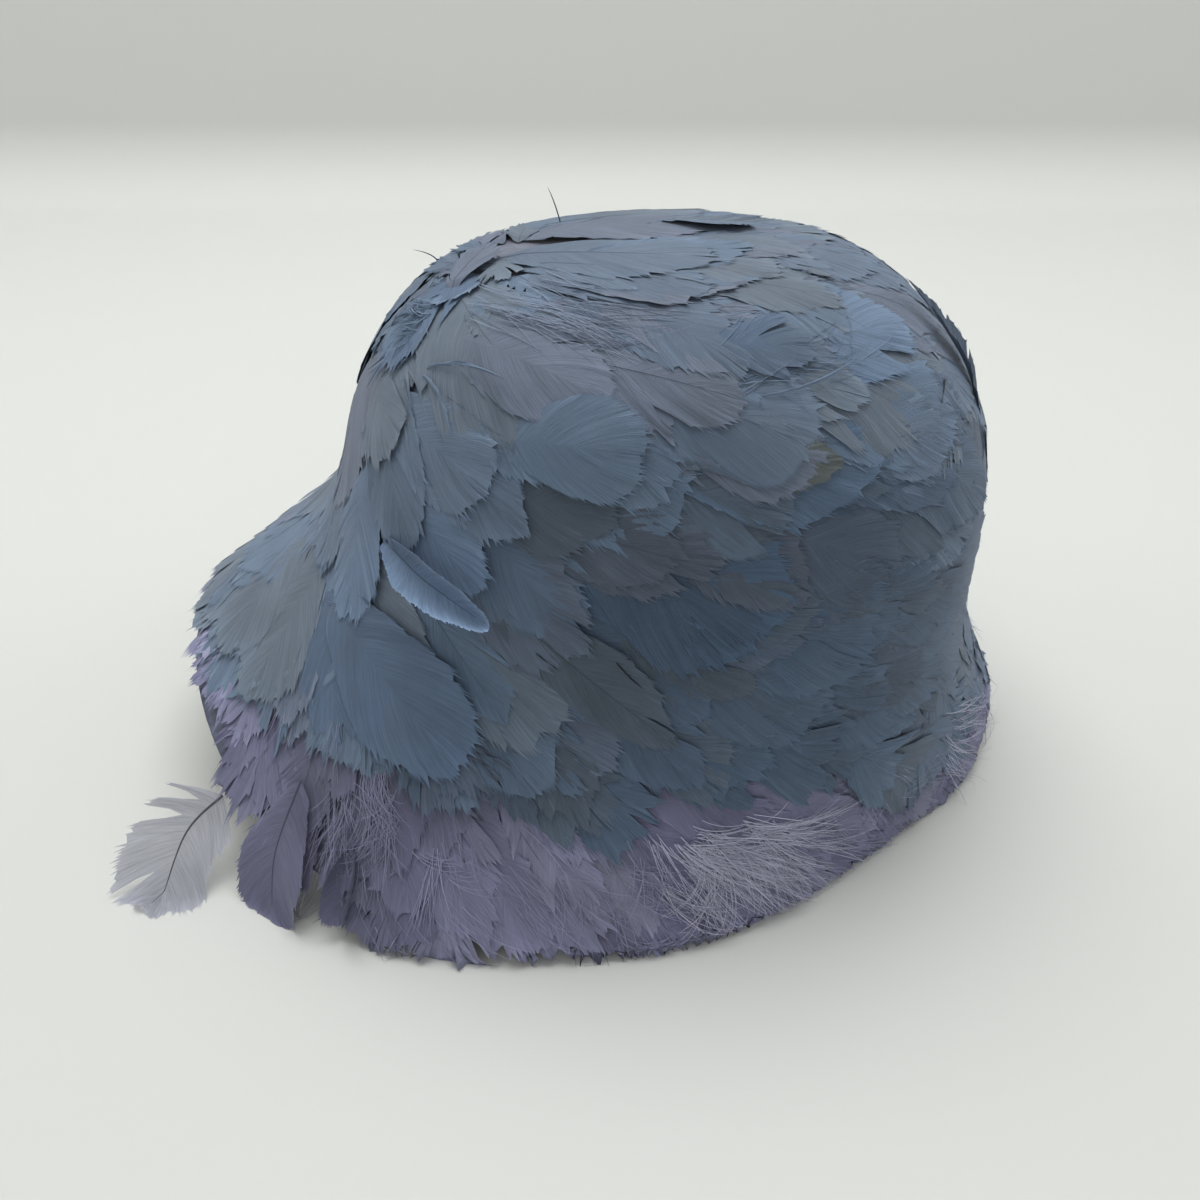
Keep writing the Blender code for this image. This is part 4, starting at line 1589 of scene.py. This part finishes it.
LOOSE: dict[str, tuple[Down | Hair, ...]] = {
    "crown_tip_feathers": (
        # Real loose barbs on the crown's top, pale as a painted highlight.
        Down(62.0, 1.35, (16.0, 0.3), 102.0, 7.0, 100, 0.036, 0.00014, Shade.PALE, 0.0003, 4, 0.0029, 0.35),
    ),
    "crown_upper_feathers": (
        # Real loose barbs on the crown's top, pale as a painted highlight.
        Down(52.0, 2.15, (12.0, 0.25), 100.0, 7.0, 80, 0.036, 0.00014, Shade.PALE, 0.0003, 4, 0.0031, 0.35),
        Down(22.0, 2.6, (4.0, 0.3), 20.0, 60.0, 90, 0.01, 0.0004, Shade.STEEL, 0.002),
        Down(108.0, 2.8, (12.0, 0.2), 95.0, 16.0, 48, 0.03, 0.00022, Shade.SKY, 0.002, 4),
        Hair(316.0, 1.38, (0.0, -0.003, 0.013), (0.0, -0.001, -0.001)),
        Hair(350.0, 2.34, (0.0, -0.002, 0.008), (0.0, -0.006, -0.003)),
    ),
    "crown_middle_feathers": (
        Hair(116.0, 3.06, (0.004, 0.01, -0.004), (0.001, 0.004, -0.01), Shade.SKY),
    ),
    "waist_feathers": (
        Down(32.0, 6.15, (4.0, 0.1), 96.0, 12.0, 24, 0.022, 0.00014, Shade.PALE_LILAC, 0.001, 3),
    ),
    "lilac_border_feathers": (
        Down(101.0, 7.05, (6.0, 0.16), 46.0, 20.0, 560, 0.026, 0.00015, Shade.DOWN, 0.005),
        Down(152.0, 7.2, (7.0, 0.14), 46.0, 18.0, 70, 0.024, 0.00014, Shade.DOWN, 0.008, 7),
        Down(47.0, 7.15, (4.5, 0.22), 20.0, 9.0, 300, 0.02, 0.00012, Shade.PALE_LILAC, 0.003),
        Down(75.0, 7.3, (20.0, 0.25), 44.0, 14.0, 360, 0.016, 0.00014, Shade.PALE_LILAC, 0.004),
        Down(140.0, 7.3, (14.0, 0.2), 40.0, 16.0, 160, 0.014, 0.00014, Shade.PALE_LILAC, 0.004),
        Down(230.0, 7.4, (45.0, 0.25), -36.0, 16.0, 300, 0.014, 0.00014, Shade.PALE_LILAC, 0.004),
        Hair(140.0, 7.2, (0.0, 0.006, 0.006), (0.0, 0.004, 0.004), Shade.LILAC),
    ),
}


@dataclass(frozen=True)
class Plumage:
    """All the feathers that lie on the hat, region by region."""

    surface: Surface
    flow: Flow
    elbow_room: float = 0.0080
    slender: float = 0.0050
    ruffle_count: int = 64
    ruffle_bearings: tuple[float, float] = (-62.0, 30.0)
    ruffle_stations: tuple[float, float] = (1.35, 2.75)
    regions: tuple[Region, ...] = (
        Region("crown_tip_feathers", 0.1, 1.45, 0.42, 0.019, 0.056, 0.017, 0.0022, 0.0033),
        Region("crown_upper_feathers", 1.5, 2.7, 0.44, 0.0195, 0.058, 0.018, 0.0018, 0.0036),
        Region("crown_middle_feathers", 2.75, 3.9, 0.46, 0.0205, 0.062, 0.0185, 0.0016, 0.0038),
        Region("crown_lower_feathers", 3.95, 5.0, 0.46, 0.0205, 0.064, 0.019, 0.0014, 0.0038, hem=BLUE_HEM),
        Region("waist_feathers", 5.05, 5.75, 0.4, 0.0205, 0.06, 0.0185, 0.0014, 0.004, hem=BLUE_HEM),
        Region(
            "brim_feathers", 5.6, 6.6, 0.32, 0.018, 0.046, 0.0165, 0.0016, 0.004, 0.13, BLUES, SPLIT,
            BLUE_HEM, stretch=1.35,
        ),
        Region(
            "lilac_border_feathers", 6.2, 7.5, 0.26, 0.0155, 0.038, 0.013, 0.0004, 0.0032, 0.16, LILACS, SOFT,
            EDGE_HEM, 0.0, LILAC_PAINTED_LIGHT, 1.35,
        ),
    )

    def ruffles(self, rng: np.random.Generator) -> Feathers:
        """Small crossing feathers along the parting at the front of the crown.

        Args:
            rng: source of chance.

        Returns:
            The feathers.
        """
        count = self.ruffle_count
        bearing = np.radians(rng.uniform(*self.ruffle_bearings, count))
        station = rng.uniform(*self.ruffle_stations, count)
        dye = np.array([shade.value for shade in BLUES])[rng.integers(0, len(BLUES), count)]
        return Feathers(
            bearing=bearing,
            station=station,
            heading=np.radians(rng.normal(40.0, 55.0, count)) * np.where(bearing < -0.2, -1.0, 1.0),
            length=rng.uniform(0.018, 0.028, count),
            half_width=rng.uniform(0.0050, 0.0080, count),
            bend=rng.normal(0.0, 0.4, count),
            root_lift=rng.uniform(0.0010, 0.0018, count),
            tip_lift=rng.uniform(0.0020, 0.0030, count),
            cup=rng.normal(-0.0004, 0.0004, count),
            shade=dye * rng.normal(0.95, 0.06, count)[:, None],
            shaft=np.where(rng.random(count) < 0.4, 0.00025, 0.0),
        )

    def cleared(self, sown: Feathers, placed: dict[Vane, tuple[Placed, ...]]) -> Feathers:
        """Leaves out sown feathers rooted where a broad placed one is.

        Args:
            sown: the region's feathers.
            placed: its placed feathers.

        Returns:
            The feathers that stay.
        """
        roots, _ = self.surface.read(sown.bearing, sown.station)
        kept = np.ones(len(sown.bearing), bool)
        for row in (row for rows in placed.values() for row in rows if row.half_width >= self.slender):
            place, _ = self.surface.read(np.radians([row.bearing]), np.array([row.station]))
            kept &= np.linalg.norm(roots - place, axis=1) > self.elbow_room
        return Feathers(**{field.name: getattr(sown, field.name)[kept] for field in fields(sown)})

    def build(self, rng: np.random.Generator) -> None:
        """Builds one piece for each region and each free feather.

        Args:
            rng: source of chance.
        """
        loom = Loom(self.surface, rng)
        for region in self.regions:
            weave, placed = Weave(), CHOSEN[region.node]
            loom.lay(weave, self.cleared(region.sow(self.surface, self.flow, rng), placed), region.vane)
            if region.node == "crown_upper_feathers":
                loom.lay(weave, self.ruffles(rng), SPLIT)
            for vane, rows in placed.items():
                loom.lay(weave, chosen(rows, region), vane)
            for loose in LOOSE.get(region.node, ()):
                loose.build(loom, weave)
            settle(weave, region.node, "plumage", FeatherFinish(region.node + "_finish"))
        for free in FREE:
            weave = Weave()
            loom.hang(weave, free)
            settle(weave, free.node, "plume", FeatherFinish(free.node + "_finish", glow=free.glow))


@dataclass(frozen=True)
class Studio:
    """Pale floor and backdrop, soft light from above and the sides, and the photographed angle of view."""

    camera_at: tuple[float, float, float] = (0.35073, 0.00786, 0.27190)
    tilt_down: float = 33.0
    lens: float = 36.0
    sensor: float = 36.0
    sweep_bend: float = 0.06
    sweep_depth: float = 0.655
    sweep_rise: float = 2.2
    sweep_colour: tuple[float, ...] = (0.620, 0.628, 0.600, 1.0)

    def floor(self) -> None:
        """Builds the pale sweep of floor and backdrop."""
        turns = np.linspace(0.0, math.pi / 2.0, 13)
        bend, depth = self.sweep_bend, self.sweep_depth
        profile = [(2.5, 0.0)] + [(-depth - bend * math.sin(a), bend * (1 - math.cos(a))) for a in turns]
        profile.append((-depth - bend, self.sweep_rise))
        vertices = [(x, y, z) for x, z in profile for y in (-3.0, 3.0)]
        faces = [(2 * i, 2 * i + 1, 2 * i + 3, 2 * i + 2) for i in range(len(profile) - 1)]
        mesh = bpy.data.meshes.new("sweep")
        mesh.from_pydata(vertices, [], faces)
        for face in mesh.polygons:
            face.use_smooth = True
        matt = {"Base Color": self.sweep_colour, "Roughness": 0.60, "Specular IOR Level": 0.25}
        mesh.materials.append(Paint("sweep", matt).made)
        added("sweep", mesh)

    def lamp(self, name: str, place: tuple[float, ...], height: float, size: float, power: float) -> None:
        """Adds one soft lamp.

        Args:
            name: its name.
            place: where it hangs.
            height: how high above the table it aims.
            size: width of its square.
            power: strength in watts.
        """
        data = bpy.data.lights.new(name, "AREA")
        data.shape = "SQUARE"
        data.size = size
        data.energy = power
        lamp = added(name, data)
        lamp.location = place
        gaze = Vector((0.0, 0.0, height)) - Vector(place)
        lamp.rotation_euler = gaze.to_track_quat("-Z", "Y").to_euler()

    def build(self) -> None:
        """Builds the floor, the lamps, the surrounding light and the camera."""
        self.floor()
        self.lamp("overhead", (-0.36, -0.05, 1.30), 0.05, 1.1, 18.5)
        self.lamp("front", (1.10, 0.10, 0.70), 0.06, 1.2, 3.3)
        self.lamp("left", (-0.35, -1.30, 0.55), 0.06, 1.0, 4.5)
        self.lamp("right", (-0.45, 1.30, 0.60), 0.06, 1.0, 5.5)
        world = bpy.data.worlds.new("room")
        world.use_nodes = True
        air = world.node_tree.nodes["Background"]
        air.inputs["Color"].default_value = (0.95, 0.98, 1.0, 1.0)
        air.inputs["Strength"].default_value = 0.31
        scene = bpy.context.scene
        scene.world = world
        scene.view_settings.view_transform = "Standard"
        data = bpy.data.cameras.new("camera")
        data.lens = self.lens
        data.sensor_width = self.sensor
        data.clip_start = 0.01
        scene.camera = added("camera", data)
        scene.camera.location = self.camera_at
        slope = math.radians(self.tilt_down)
        gaze = Vector((-math.cos(slope), 0.0, -math.sin(slope)))
        scene.camera.rotation_euler = gaze.to_track_quat("-Z", "Y").to_euler()


def main() -> None:
    """Builds every piece in order."""
    logging.basicConfig(level=logging.INFO, format="%(message)s")
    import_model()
    surface = Surface(HatForm())
    rng = np.random.default_rng(7)
    FeltShell(surface).build()
    Plumage(surface, Flow()).build(rng)
    Studio().build()


if __name__ == "__main__":
    main()
